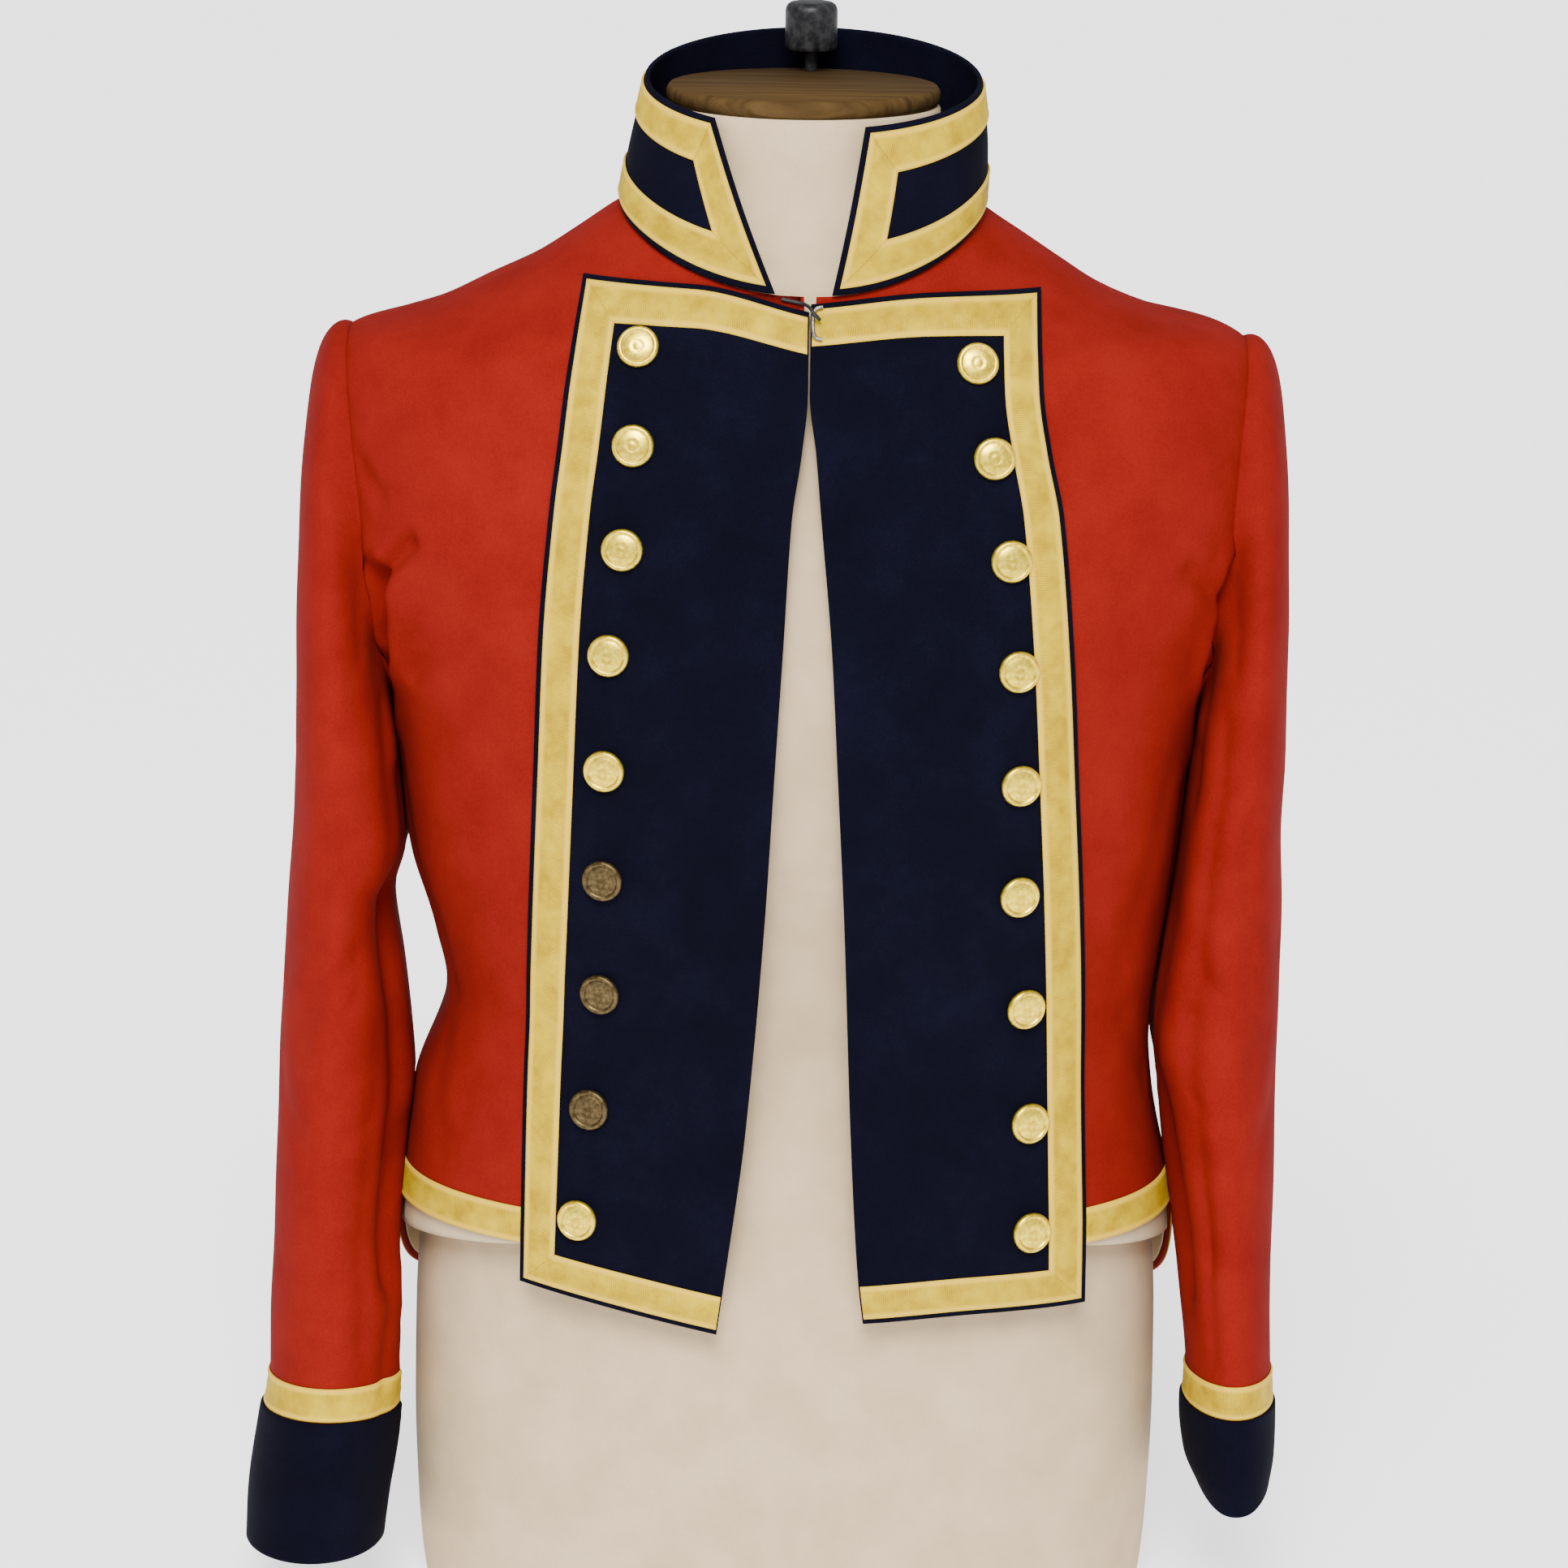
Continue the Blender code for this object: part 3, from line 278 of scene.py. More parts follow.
# The buttons, from the top down.
BUTTONS = {
    "left": Table(
        "number across height",
        (1, 0.0762, 0.6583),
        (2, 0.0781, 0.6142),
        (3, 0.0825, 0.5655),
        (4, 0.0883, 0.5151),
        (5, 0.0896, 0.4589),
        (6, 0.0899, 0.4041),
        (7, 0.0906, 0.3456),
        (8, 0.0954, 0.2854),
        (9, 0.1010, 0.2290),
    ),
    "right": Table(
        "number across height",
        (1, 0.0850, 0.6530),
        (2, 0.0937, 0.6103),
        (3, 0.1026, 0.5622),
        (4, 0.1070, 0.5094),
        (5, 0.1088, 0.4533),
        (6, 0.1093, 0.3974),
        (7, 0.1138, 0.3389),
        (8, 0.1172, 0.2792),
        (9, 0.1193, 0.2237),
    ),
}

# Each sleeve below the armhole, as flat rings down the arm: nearest and farthest from the middle, the fore
# and aft middle, half the depth, and how much the ring rises towards the front.
SLEEVE = {
    "left": Table(
        "height inner outer middle depth rise",
        (0.033, 0.2065, 0.2685, -0.048, 0.049, 0.13),
        (0.052, 0.2045, 0.2680, -0.045, 0.050, 0.13),
        (0.098, 0.1995, 0.2625, -0.038, 0.052, 0.13),
        (0.120, 0.1985, 0.2590, -0.034, 0.054, 0.13),
        (0.157, 0.1985, 0.2584, -0.028, 0.058, 0.12),
        (0.198, 0.2025, 0.2570, -0.021, 0.062, 0.10),
        (0.240, 0.2000, 0.2560, -0.014, 0.066, 0.07),
        (0.281, 0.1965, 0.2551, -0.008, 0.069, 0.04),
        (0.321, 0.1970, 0.2533, -0.003, 0.072, 0.02),
        (0.362, 0.1985, 0.2511, 0.001, 0.075, 0.00),
        (0.404, 0.1975, 0.2484, 0.003, 0.078, 0.00),
        (0.440, 0.2035, 0.2465, 0.004, 0.080, 0.00),
    ),
    "right": Table(
        "height inner outer middle depth rise",
        (0.062, 0.2150, 0.2440, -0.040, 0.044, 0.12),
        (0.080, 0.2090, 0.2460, -0.038, 0.047, 0.12),
        (0.105, 0.2068, 0.2466, -0.034, 0.050, 0.12),
        (0.127, 0.2080, 0.2457, -0.031, 0.053, 0.12),
        (0.163, 0.2060, 0.2444, -0.026, 0.057, 0.11),
        (0.205, 0.2026, 0.2447, -0.019, 0.062, 0.09),
        (0.246, 0.1960, 0.2450, -0.013, 0.066, 0.06),
        (0.287, 0.1925, 0.2448, -0.007, 0.069, 0.04),
        (0.328, 0.1935, 0.2456, -0.003, 0.072, 0.02),
        (0.369, 0.1965, 0.2454, 0.001, 0.075, 0.00),
        (0.411, 0.2010, 0.2440, 0.003, 0.078, 0.00),
        (0.440, 0.2065, 0.2445, 0.004, 0.080, 0.00),
    ),
}
CUFF_TOP = {"left": 0.1045, "right": 0.1120}
CUFF_HANG = 0.003

# How each sleeve leaves its armhole, from the underarm (-90 degrees) over the front to the top (90): the
# way it sets off, outward and up, how far, and how far above the first ring it turns down.
SLEEVE_HEAD = Table(
    "turn outward up reach drop",
    (-90, 1.00, 0.00, 0.010, 0.012),
    (-30, 0.98, -0.20, 0.012, 0.035),
    (20, 0.96, 0.00, 0.014, 0.080),
    (90, 0.93, 0.20, 0.019, 0.165),
)
SLEEVE_RADIUS = 0.055

# The largest folds of the sleeves: where each starts and ends round the arm, in degrees from the front,
# and down it, with its depth and half width. A negative depth stands out.
SLEEVE_FOLDS = (
    # turn, height, end turn, end height, depth, half width
    (-38, 0.500, -52, 0.330, 0.0040, 0.011),
    (5, 0.420, 25, 0.300, 0.0025, 0.012),
    (-20, 0.345, 40, 0.315, 0.0030, 0.010),
    (60, 0.275, 15, 0.245, 0.0022, 0.010),
    (160, 0.380, 205, 0.300, 0.0035, 0.012),
    (140, 0.300, 215, 0.285, 0.0030, 0.010),
)

# The dress form, in the same terms as the body of the jacket: below its shoulders, then the heights at
# which the jacket rests on it and gives its shape, and its neck.
FORM_BELOW = (
    # height, left, right, front, behind, square
    (0.000, 0.1790, 0.1800, 0.106, 0.116, 2.25),
    (0.003, 0.1830, 0.1840, 0.110, 0.120, 2.25),
    (0.050, 0.1875, 0.1885, 0.113, 0.124, 2.25),
    (0.100, 0.1890, 0.1900, 0.114, 0.120, 2.25),
    (0.150, 0.1885, 0.1895, 0.114, 0.114, 2.25),
    (0.200, 0.1855, 0.1865, 0.111, 0.107, 2.20),
    (0.260, 0.1760, 0.1780, 0.104, 0.094, 2.20),
    (0.310, 0.1680, 0.1700, 0.099, 0.086, 2.20),
    (0.360, 0.1710, 0.1730, 0.103, 0.088, 2.20),
    (0.420, 0.1790, 0.1800, 0.114, 0.097, 2.20),
    (0.480, 0.1830, 0.1830, 0.118, 0.105, 2.25),
    (0.540, 0.1840, 0.1840, 0.111, 0.110, 2.25),
    (0.590, 0.1830, 0.1830, 0.102, 0.108, 2.20),
    (0.630, 0.1800, 0.1800, 0.092, 0.102, 2.15),
    (0.650, 0.1755, 0.1755, 0.0885, 0.098, 2.10),
)
FORM_SHOULDER_HEIGHTS = (0.664, 0.669, 0.675, 0.681, 0.687, 0.693, 0.699, 0.705, 0.7115, 0.7165)
FORM_ABOVE = (
    (0.7280, 0.0730, 0.0740, 0.0625, 0.0650, 2.00),
    (0.7420, 0.0680, 0.0690, 0.0610, 0.0620, 2.00),
    (0.7660, 0.0665, 0.0675, 0.0600, 0.0605, 2.00),
)
FORM_EASE = 0.0030
FORM_FOOT_EDGE = 0.003
FORM_TOP_EDGE = 0.0015
FORM_TOP_ROUND = 0.0008
CAP_THICKNESS = 0.0085
CAP_EDGE = 0.0015
KNOB_PLACE = (0.004, 0.050)
KNOB_RADIUS = 0.0130
KNOB_TOP = 0.8095
KNOB_UNDERSIDE = 0.7855
KNOB_UNDERCUT = 0.0006
STEM_RADIUS = 0.0030
KNOB_PROFILE = (
    # share of the radius, share of the height between the underside and the top
    (0.00, 1.000),
    (0.60, 0.992),
    (0.80, 0.970),
    (0.91, 0.930),
    (0.97, 0.875),
    (1.00, 0.800),
    (1.00, 0.100),
    (0.98, 0.030),
    (0.93, 0.000),
)

# The hook and the eye, as bent wires: across to the right, up, and out from their seat on the lace
HOOK_HEIGHT = 0.6713
WIRE_RADIUS = 0.0009
HOOK = (
    (-0.0085, 0.0110, -0.0035),
    (-0.0050, 0.0103, -0.0035),
    (-0.0010, 0.0096, -0.0035),
    (0.0018, 0.0088, -0.0026),
    (0.0038, 0.0074, 0.0000),
    (0.0052, 0.0058, 0.0020),
    (0.0066, 0.0036, 0.0030),
    (0.0084, 0.0020, 0.0026),
    (0.0096, 0.0010, 0.0010),
)
EYE = (
    (0.0110, 0.0070, 0.0000),
    (0.0084, 0.0064, 0.0000),
    (0.0068, 0.0040, 0.0004),
    (0.0065, 0.0000, 0.0004),
    (0.0068, -0.0046, 0.0004),
    (0.0084, -0.0072, 0.0000),
    (0.0110, -0.0078, 0.0000),
)

# Folds of the body's cloth, from an angle and height to another, with depth and half width. The front is
# at -90 degrees, the left side at -180, the right side at 0 and the back at 90. A negative depth stands out.
BODY_FOLDS = (
    # turn, height, end turn, end height, depth, half width
    (-158, 0.566, -156, 0.540, 0.0035, 0.0045),
    (-142, 0.560, -151, 0.540, 0.0085, 0.0050),
    (-153, 0.540, -158, 0.505, 0.0165, 0.0075),
    (-158, 0.505, -172, 0.462, 0.0090, 0.0070),
    (-135, 0.518, -150, 0.492, 0.0030, 0.0050),
    (-152, 0.592, -148, 0.580, 0.0030, 0.0070),
    (-168, 0.440, -160, 0.330, 0.0016, 0.0110),
    (-160, 0.300, -150, 0.245, 0.0012, 0.0100),
    (-23, 0.545, -20, 0.500, 0.0130, 0.0060),
    (-20, 0.500, -9, 0.462, 0.0110, 0.0070),
    (-36, 0.552, -26, 0.534, 0.0045, 0.0060),
    (-40, 0.600, -30, 0.560, 0.0014, 0.0090),
    (-24, 0.450, -33, 0.350, 0.0014, 0.0110),
    (-30, 0.320, -18, 0.285, 0.0014, 0.0090),
    (-12, 0.430, -8, 0.330, 0.0018, 0.0100),
    (28, 0.560, 40, 0.500, 0.0047, 0.0070),
    (38, 0.500, 46, 0.420, 0.0032, 0.0090),
    (24, 0.400, 38, 0.330, 0.0036, 0.0090),
    (60, 0.420, 66, 0.300, 0.0040, 0.0130),
    (118, 0.430, 112, 0.310, 0.0036, 0.0120),
    (40, 0.335, 62, 0.318, 0.0029, 0.0080),
    (122, 0.330, 142, 0.345, 0.0029, 0.0080),
    (152, 0.565, 142, 0.510, 0.0050, 0.0070),
    (142, 0.510, 136, 0.440, 0.0032, 0.0090),
    (156, 0.410, 146, 0.330, 0.0032, 0.0090),
    (72, 0.250, 76, 0.170, 0.0040, 0.0120),
    (106, 0.260, 103, 0.180, 0.0036, 0.0120),
    (48, 0.245, 44, 0.215, 0.0029, 0.0090),
    (134, 0.250, 138, 0.220, 0.0029, 0.0090),
    (70, 0.655, 60, 0.620, 0.0022, 0.0080),
    (110, 0.650, 121, 0.615, 0.0022, 0.0080),
)
BODY_RADIUS = 0.165
# The smaller folds of the sleeves, after the larger ones above.
SMALL_FOLDS = {
    "left": (
        (-8, 0.555, -20, 0.500, 0.0016, 0.0060),
        (-45, 0.470, -38, 0.400, 0.0026, 0.0080),
        (-62, 0.430, -56, 0.180, 0.0085, 0.0110),
        (-40, 0.310, -30, 0.150, 0.0024, 0.0090),
        (-70, 0.250, -52, 0.120, 0.0026, 0.0080),
        (-22, 0.330, 6, 0.305, 0.0018, 0.0060),
        (30, 0.352, 62, 0.332, 0.0016, 0.0070),
        (-30, 0.262, 4, 0.248, 0.0015, 0.0060),
        (14, 0.198, 46, 0.185, 0.0012, 0.0070),
        (118, 0.470, 130, 0.400, 0.0022, 0.0080),
        (150, 0.420, 180, 0.395, 0.0022, 0.0070),
        (170, 0.350, 215, 0.335, 0.0026, 0.0070),
        (190, 0.285, 225, 0.262, 0.0022, 0.0070),
        (150, 0.230, 185, 0.215, 0.0016, 0.0070),
        (100, 0.160, 130, 0.150, 0.0012, 0.0070),
    ),
    "right": (
        (-6, 0.575, -14, 0.500, 0.0018, 0.0060),
        (-48, 0.500, -50, 0.430, 0.0050, 0.0085),
        (-60, 0.450, -62, 0.180, 0.0080, 0.0130),
        (-22, 0.470, -26, 0.200, 0.0030, 0.0080),
        (-38, 0.290, -26, 0.150, 0.0022, 0.0090),
        (-18, 0.345, 10, 0.318, 0.0018, 0.0060),
        (24, 0.372, 58, 0.356, 0.0014, 0.0070),
        (-26, 0.282, 6, 0.262, 0.0015, 0.0060),
        (10, 0.215, 44, 0.200, 0.0012, 0.0070),
        (112, 0.480, 126, 0.410, 0.0020, 0.0080),
        (148, 0.430, 182, 0.400, 0.0024, 0.0070),
        (165, 0.360, 212, 0.340, 0.0024, 0.0070),
        (186, 0.295, 222, 0.275, 0.0022, 0.0070),
        (145, 0.240, 182, 0.222, 0.0016, 0.0070),
    ),
}
# How much of the room between each sleeve and the body is closed, by height
PRESSED = {
    "left": Table("height held", (0.330, 0), (0.372, 0), (0.404, 1), (0.480, 1)),
    "right": Table("height held", (0.245, 0), (0.272, 0.25), (0.302, 0.9), (0.335, 1), (0.480, 1)),
}
# How far the inner side of each sleeve swings in towards the body
SWUNG_IN = {
    "left": Table(
        "height in",
        (0.060, 0.0000),
        (0.150, 0.0030),
        (0.215, 0.0048),
        (0.269, 0.0052),
        (0.300, 0.0032),
        (0.330, 0.0004),
        (0.366, -0.0036),
        (0.392, -0.0010),
        (0.410, 0.0000),
    ),
    "right": Table(
        "height in",
        (0.080, 0.0000),
        (0.160, 0.0015),
        (0.205, 0.0032),
        (0.246, 0.0046),
        (0.287, 0.0046),
        (0.330, 0.0020),
        (0.370, 0.0000),
    ),
}
# How far the cloth is drawn in at each side of the waist
WAIST = {
    "left": Table("height in", (0.270, 0), (0.300, 0.0018), (0.3255, 0.0046), (0.352, 0.0018), (0.385, 0)),
    "right": Table("height in", (0.226, 0), (0.254, 0.0024), (0.290, 0.0034), (0.325, 0.0014), (0.360, 0)),
}
# The gap left between a sleeve and the body, and how far round the sleeve that reaches
PRESS_GAP = 0.0009
PRESS_WIDTH = math.radians(50)
# How much higher the end of each cuff is at its sides than in front
CUFF_ROUND = {"left": 0.0035, "right": 0.0110}
# How far the head of each sleeve stands out from the body at its seam, and the places down the sleeve where
# it no longer follows the body, where the small folds are whole and where the cuff starts to round off
HEAD_OUT = 0.0011
HEAD_FLUSH = 0.16
FOLDS_WHOLE = 0.5
CUFF_ROUND_FROM = 1.8
# The strip of lining that shows below each front: how far above the hem it starts and below it ends at the
# side seam, how its end curves up to the lapel, and how far it stays off the lapel's edge and the cloth
STRIP_ABOVE = 0.012
STRIP_BELOW = 0.019
STRIP_CURVE = 0.8
STRIP_MARGIN = 0.004
STRIP_GAP = 0.0005
# The height at which the body's folds have died away
FOLDS_END = 0.655
# How fine a strip of lace is cut, as shares of its length and its width
LACE_RIM = 0.0006
HALF_LACE = np.array([0, 0.02, 0.05, 0.09, 0.13, 0.18, 0.28, 0.42])
LACE_STEPS = np.concatenate([HALF_LACE, 1 - HALF_LACE[::-1]])


def section(angle, height, sizes, square, grow=0.0):
    """Points round a level section, whose four quarters have half widths and depths of their own."""
    left, right, front, behind = sizes
    across, along = np.cos(angle), np.sin(angle)
    width = np.where(across < 0, left, right) + grow
    depth = np.where(along < 0, front, behind) + grow
    reach = (np.abs(across) ** square + np.abs(along) ** square) ** (-1 / square)
    return np.stack([width * across * reach, depth * along * reach, height + 0 * angle], axis=-1)


def body_skin(angle, height):
    """A point on the inner face of the body's cloth. The front is at -90 degrees, the right side at 0."""
    square, back_square = BODY.at("square back_square", height)
    square = np.where(np.sin(angle) < 0, square, back_square)
    return section(angle, height, BODY.at("left right front behind", height), square)


def lifted(skin, a, b, lift, facing=1.0):
    """Points of a skin, moved out along its normal."""
    a, b = np.broadcast_arrays(np.asarray(a, float), np.asarray(b, float))
    along_a = skin(a + NORMAL_STEP, b) - skin(a - NORMAL_STEP, b)
    along_b = skin(a, b + NORMAL_STEP) - skin(a, b - NORMAL_STEP)
    normal = np.cross(along_a, along_b)
    normal /= np.linalg.norm(normal, axis=-1, keepdims=True)
    return skin(a, b) + normal * facing * np.asarray(lift)[..., None]


def swing(across, height, side, face):
    """The angle round the body of a point so far out from the middle, on the front or the back."""
    width = BODY.at(side, height)
    other = BODY.at("right" if side == "left" else "left", height)
    share = np.where(across >= 0, across / width, across / other)
    share = np.clip(share, -1, 1)
    square = BODY.at("square" if face == "front" else "back_square", height)
    depth = (1 - np.abs(share) ** square) ** (1 / square)
    from_middle = np.arctan2(share, depth)
    middle = -math.pi / 2 if face == "front" else math.pi / 2
    turn = SIDES[side] if face == "front" else -SIDES[side]
    return middle + turn * from_middle


def armhole(side, turn):
    """(angle, height) round an armhole. -90 degrees is the underarm, 0 the front, 90 the top."""
    top = ARMHOLE[side].steps[-1]
    height = (top + ARMPIT) / 2 + (top - ARMPIT) / 2 * np.sin(turn)
    across = np.minimum(ARMHOLE[side].at("across", height), BODY.at(side, height))
    front = swing(across, height, side, "front")
    back = swing(across, height, side, "back")
    if side == "left":
        front = front + 2 * math.pi
    return np.where(np.cos(turn) >= 0, front, back), height


def neckline(side, face, share):
    """(angle, height) along the neck seam, from the middle (0) to the shoulder seam (1)."""
    turn = (1 - share) * math.pi / 2
    if face == "front":
        end = LAPEL[side].at("centre", NECK_FRONT) + OVERHANG
        height = NECK_SIDE + (NECK_FRONT - NECK_SIDE) * np.sin(turn) ** NECK_CURVE
    else:
        end = SEAM_GAP / 2
        height = NECK_SIDE + (NECK_BACK - NECK_SIDE) * np.sin(turn) ** 2
    width = BODY.at(side, NECK_SIDE)
    across = end + (width - end) * np.cos(turn)
    across = np.minimum(across, BODY.at(side, height))
    return swing(across, height, side, face), height


def climb(foot, top, v, top_row):
    """The height on the way up from a hem: its band of lace first, and then the rest, up to a row."""
    band = HEM_BAND * np.clip(v / LACE_ROW, 0, 1)
    return foot + band + (top - foot - HEM_BAND) * np.clip((v - LACE_ROW) / (top_row - LACE_ROW), 0, 1)


def side_line(side, face, v):
    """(angle, height) up the outer edge of a body panel: the side seam, then the armhole."""
    turn = np.clip((v - ARM_ROW) / (1 - ARM_ROW), 0, 1) * math.pi - math.pi / 2
    arm_angle, arm_height = armhole(side, turn if face == "front" else math.pi - turn)
    if side == "left" and face == "front":
        arm_angle = arm_angle - 2 * math.pi
    seam_angle = swing(1.0, ARMPIT, side, face)
    below = v < ARM_ROW
    seam_height = climb(SIDE_HEM, ARMPIT, v, ARM_ROW)
    return np.where(below, seam_angle, arm_angle), np.where(below, seam_height, arm_height)


def lapel_place(side, p, q):
    """(angle, height) on a lapel: p runs from its outer edge to its centre edge, q up it."""
    bottom, top = LAPEL_ENDS[side].at("bottom top", p)
    height = bottom + (top - bottom) * q
    outer, centre = LAPEL[side].at("outer centre", height)
    return swing(outer + (centre - outer) * p, height, side, "front"), height


def under_lapel(side, p, q):
    """The same on the front below it, which ends an overhang short of the lapel's centre and lower edges.

    Where the lapel leaves it, the front stops at the hem line of the side, with its own band of lace.
    """
    bottom, top = LAPEL_ENDS[side].at("bottom top", p)
    height = bottom + (top - bottom) * q
    short = height + OVERHANG * np.clip(1 - q / LACE_SHARE, 0, 1)
    second = bottom + (top - bottom) * REJOIN_SHARE
    band = SIDE_HEM + HEM_BAND * q / LACE_SHARE
    over = np.clip((q - LACE_SHARE) / (REJOIN_SHARE - LACE_SHARE), 0, 1)
    rising = SIDE_HEM + HEM_BAND + (second - SIDE_HEM - HEM_BAND) * over
    outside = np.where(q < LACE_SHARE, band, np.where(q < REJOIN_SHARE, rising, height))
    height = np.where(p < HEM_STEP, outside, short)
    return swing(under_across(side, p, height), height, side, "front"), height


def under_across(side, p, height):
    """How far out the front below a lapel reaches at p."""
    outer, centre = LAPEL[side].at("outer centre", height)
    drawn_in = OVERHANG * np.clip((p - DRAW_IN) / (1 - DRAW_IN), 0, 1)
    return outer + (centre - outer) * p + drawn_in


def mix(first, second, share):
    """The (angle, height) so far between two others."""
    return tuple(a + (b - a) * share for a, b in zip(first, second))


def front_place(side, u, v):
    """(angle, height) on a front: u runs under the lapel to 0.5 and on to the side, v up to the shoulder."""
    u, v = np.broadcast_arrays(np.asarray(u, float), np.asarray(v, float))
    q = np.clip(v / NECK_ROW, 0, 1)
    above = np.clip((v - NECK_ROW) / (1 - NECK_ROW), 0, 1)
    p = np.clip(1 - 2 * u, 0, 1)
    under = under_lapel(side, p, q)
    edge = under_lapel(side, 0 * u, q)
    ridge = swing(1.0, SHOULDER_MIDDLE, side, "front")
    edge_above = mix(edge, (ridge, SHOULDER_MIDDLE), above)
    foot_angle, foot_height = mix(neckline(side, "front", 0 * u), under_lapel(side, 0 * u, 1 + 0 * u), 1 - p)
    foot_shift = swing(under_across(side, p, foot_height), foot_height, side, "front") - foot_angle
    angle, height = mix(neckline(side, "front", above), edge_above, 1 - p)
    yoke = angle + foot_shift * (1 - above) ** 2, height
    near = tuple(np.where(v < NECK_ROW, a, b) for a, b in zip(under, yoke))
    far = mix(edge_above, side_line(side, "front", v), np.clip(2 * u - 1, 0, 1))
    return tuple(np.where(u < 0.5, a, b) for a, b in zip(near, far))


def back_place(side, u, v):
    """(angle, height) on a half of the back: u runs from the middle to the side, v up to the shoulder."""
    u, v = np.broadcast_arrays(np.asarray(u, float), np.asarray(v, float))
    middle_height = climb(BACK_HEM, NECK_BACK, v, NECK_ROW)
    middle = (swing(SEAM_GAP / 2, middle_height, side, "back"), middle_height)
    neck = neckline(side, "back", np.clip((v - NECK_ROW) / (1 - NECK_ROW), 0, 1))
    inner = tuple(np.where(v < NECK_ROW, a, b) for a, b in zip(middle, neck))
    angle, height = mix(inner, side_line(side, "back", v), u)
    dip = (SIDE_HEM - BACK_HEM) * (u**HEM_DIP - u)
    return angle, height + dip * np.clip((HEM_EVEN_ROW - v) / (HEM_EVEN_ROW - LACE_ROW), 0, 1) ** 2


PLACES = {"front": front_place, "back": back_place}


def distance_to(row, turn, height, radius):
    """The distance of points round a body from a line between two angles and heights."""
    from_turn, from_height, to_turn, to_height = row[:4]
    middle = math.radians((from_turn + to_turn) / 2)
    gap = (turn - middle + math.pi) % (2 * math.pi) - math.pi
    half = math.radians(to_turn - from_turn) / 2 * radius
    place = np.stack([gap * radius, height], axis=-1)
    start = np.array([-half, from_height])
    run = np.array([2 * half, to_height - from_height])
    share = np.clip(((place - start) @ run) / (run @ run), 0, 1)
    return np.linalg.norm(place - start - share[..., None] * run, axis=-1)


def fold_push(side, turn, point):
    """How far the sleeve's large folds move a point, towards or away from the middle of the arm."""
    push = np.zeros(np.shape(turn))
    for row in SLEEVE_FOLDS:
        away = distance_to(row, turn, point[..., 2], SLEEVE_RADIUS)
        push += row[4] * np.exp(-((away / row[5]) ** 2))
    across = np.stack([-SIDES[side] * np.sin(turn) * 0.5, np.cos(turn), 0 * turn], axis=-1)
    return across * push[..., None]


def arm_ring(side, turn, level):
    """A point on a flat ring round the arm, at a height of its middle."""
    inner, outer, middle, depth, rise = SLEEVE[side].at("inner outer middle depth rise", level)
    x = (inner + outer) / 2 + (outer - inner) / 2 * np.sin(turn)
    y = middle - depth * np.cos(turn)
    z = level + rise * depth * np.cos(turn)
    return np.stack(np.broadcast_arrays(SIDES[side] * x, y, z), axis=-1)


def sleeve_skin(side, turn, down):
    """A point on the inner face of a sleeve. down runs 0 to 1 over the head, and 1 to 2 along the arm."""
    angle, height = armhole(side, turn)
    start = lifted(body_skin, angle, height, CLOTH + SEAM_GAP)
    top = SLEEVE[side].steps[-1]
    end = arm_ring(side, turn, top)
    degrees = np.degrees(turn)
    from_under = np.where(degrees > 90, 180 - degrees, degrees)
    shape = SLEEVE_HEAD.at("outward up reach drop", from_under)
    outward, up, reach, drop = (value[..., None] for value in shape)
    first = start + (outward * np.array([SIDES[side], 0, 0]) + up * UPWARD) * reach
    second = end + UPWARD * drop
    t = np.clip(down, 0, 1)[..., None]
    head = start * (1 - t) ** 3 + 3 * first * t * (1 - t) ** 2 + 3 * second * t**2 * (1 - t) + end * t**3
    level = top - (np.maximum(down, 1) - 1) * (top - SLEEVE[side].steps[0])
    point = np.where(t < 1, head, arm_ring(side, turn, level))
    return point + fold_push(side, turn, point)


def collar_skin(u, v):
    """A point on the inner face of the collar: u runs from its left end to its right end, v up it."""
    turn = COLLAR_LEFT + (COLLAR_RIGHT - COLLAR_LEFT) * u
    outward = np.stack([np.cos(turn), np.sin(turn), 0 * u], axis=-1)
    top = np.array([COLLAR_MIDDLE[0], COLLAR_MIDDLE[1], COLLAR_SIDE_TOP]) + outward * COLLAR_SPREAD
    top[..., 2] += COLLAR_TILT * top[..., 1]
    bulge = COLLAR_BULGE * np.sin(np.pi * v)
    return collar_foot(u) * (1 - v[..., None]) + top * v[..., None] + outward * bulge[..., None]


def collar_foot(u):
    """The foot of the collar, which stands on the neck edges of the four body panels."""
    quarters = np.clip(u, 0, 1) * 4
    left, right = COLLAR_START["left"], COLLAR_START["right"]
    points = []
    for side, face, share in (
        ("left", "front", left + (1 - left) * quarters),
        ("left", "back", 2 - quarters),
        ("right", "back", quarters - 2),
        ("right", "front", right + (1 - right) * (4 - quarters)),
    ):
        angle, height = neckline(side, face, np.clip(share, 0, 1))
        points.append(lifted(body_skin, angle, height, CLOTH + COLLAR_SEAT))
    quarter = np.clip(np.floor(quarters), 0, 3).astype(int)
    return np.choose(quarter[..., None], points)

def collar_wall(u, v, lift):
    """A point on the collar, moved out."""
    return lifted(collar_skin, u, v, lift, -1.0)


def down_at(side, height):
    """The place down a sleeve of a height at the middle of its ring."""
    top, bottom = SLEEVE[side].steps[-1], SLEEVE[side].steps[0]
    return 1 + (top - height) / (top - bottom)


def form_rows():
    """The form's sections: its own below the shoulders, and just inside the cloth where that rests on it."""
    rows = list(FORM_BELOW)
    for height in FORM_SHOULDER_HEIGHTS:
        *sizes, square = (float(value) for value in BODY.at("left right front behind square", height))
        rows.append((height, *(size - FORM_EASE for size in sizes), square))
    return rows + list(FORM_ABOVE)


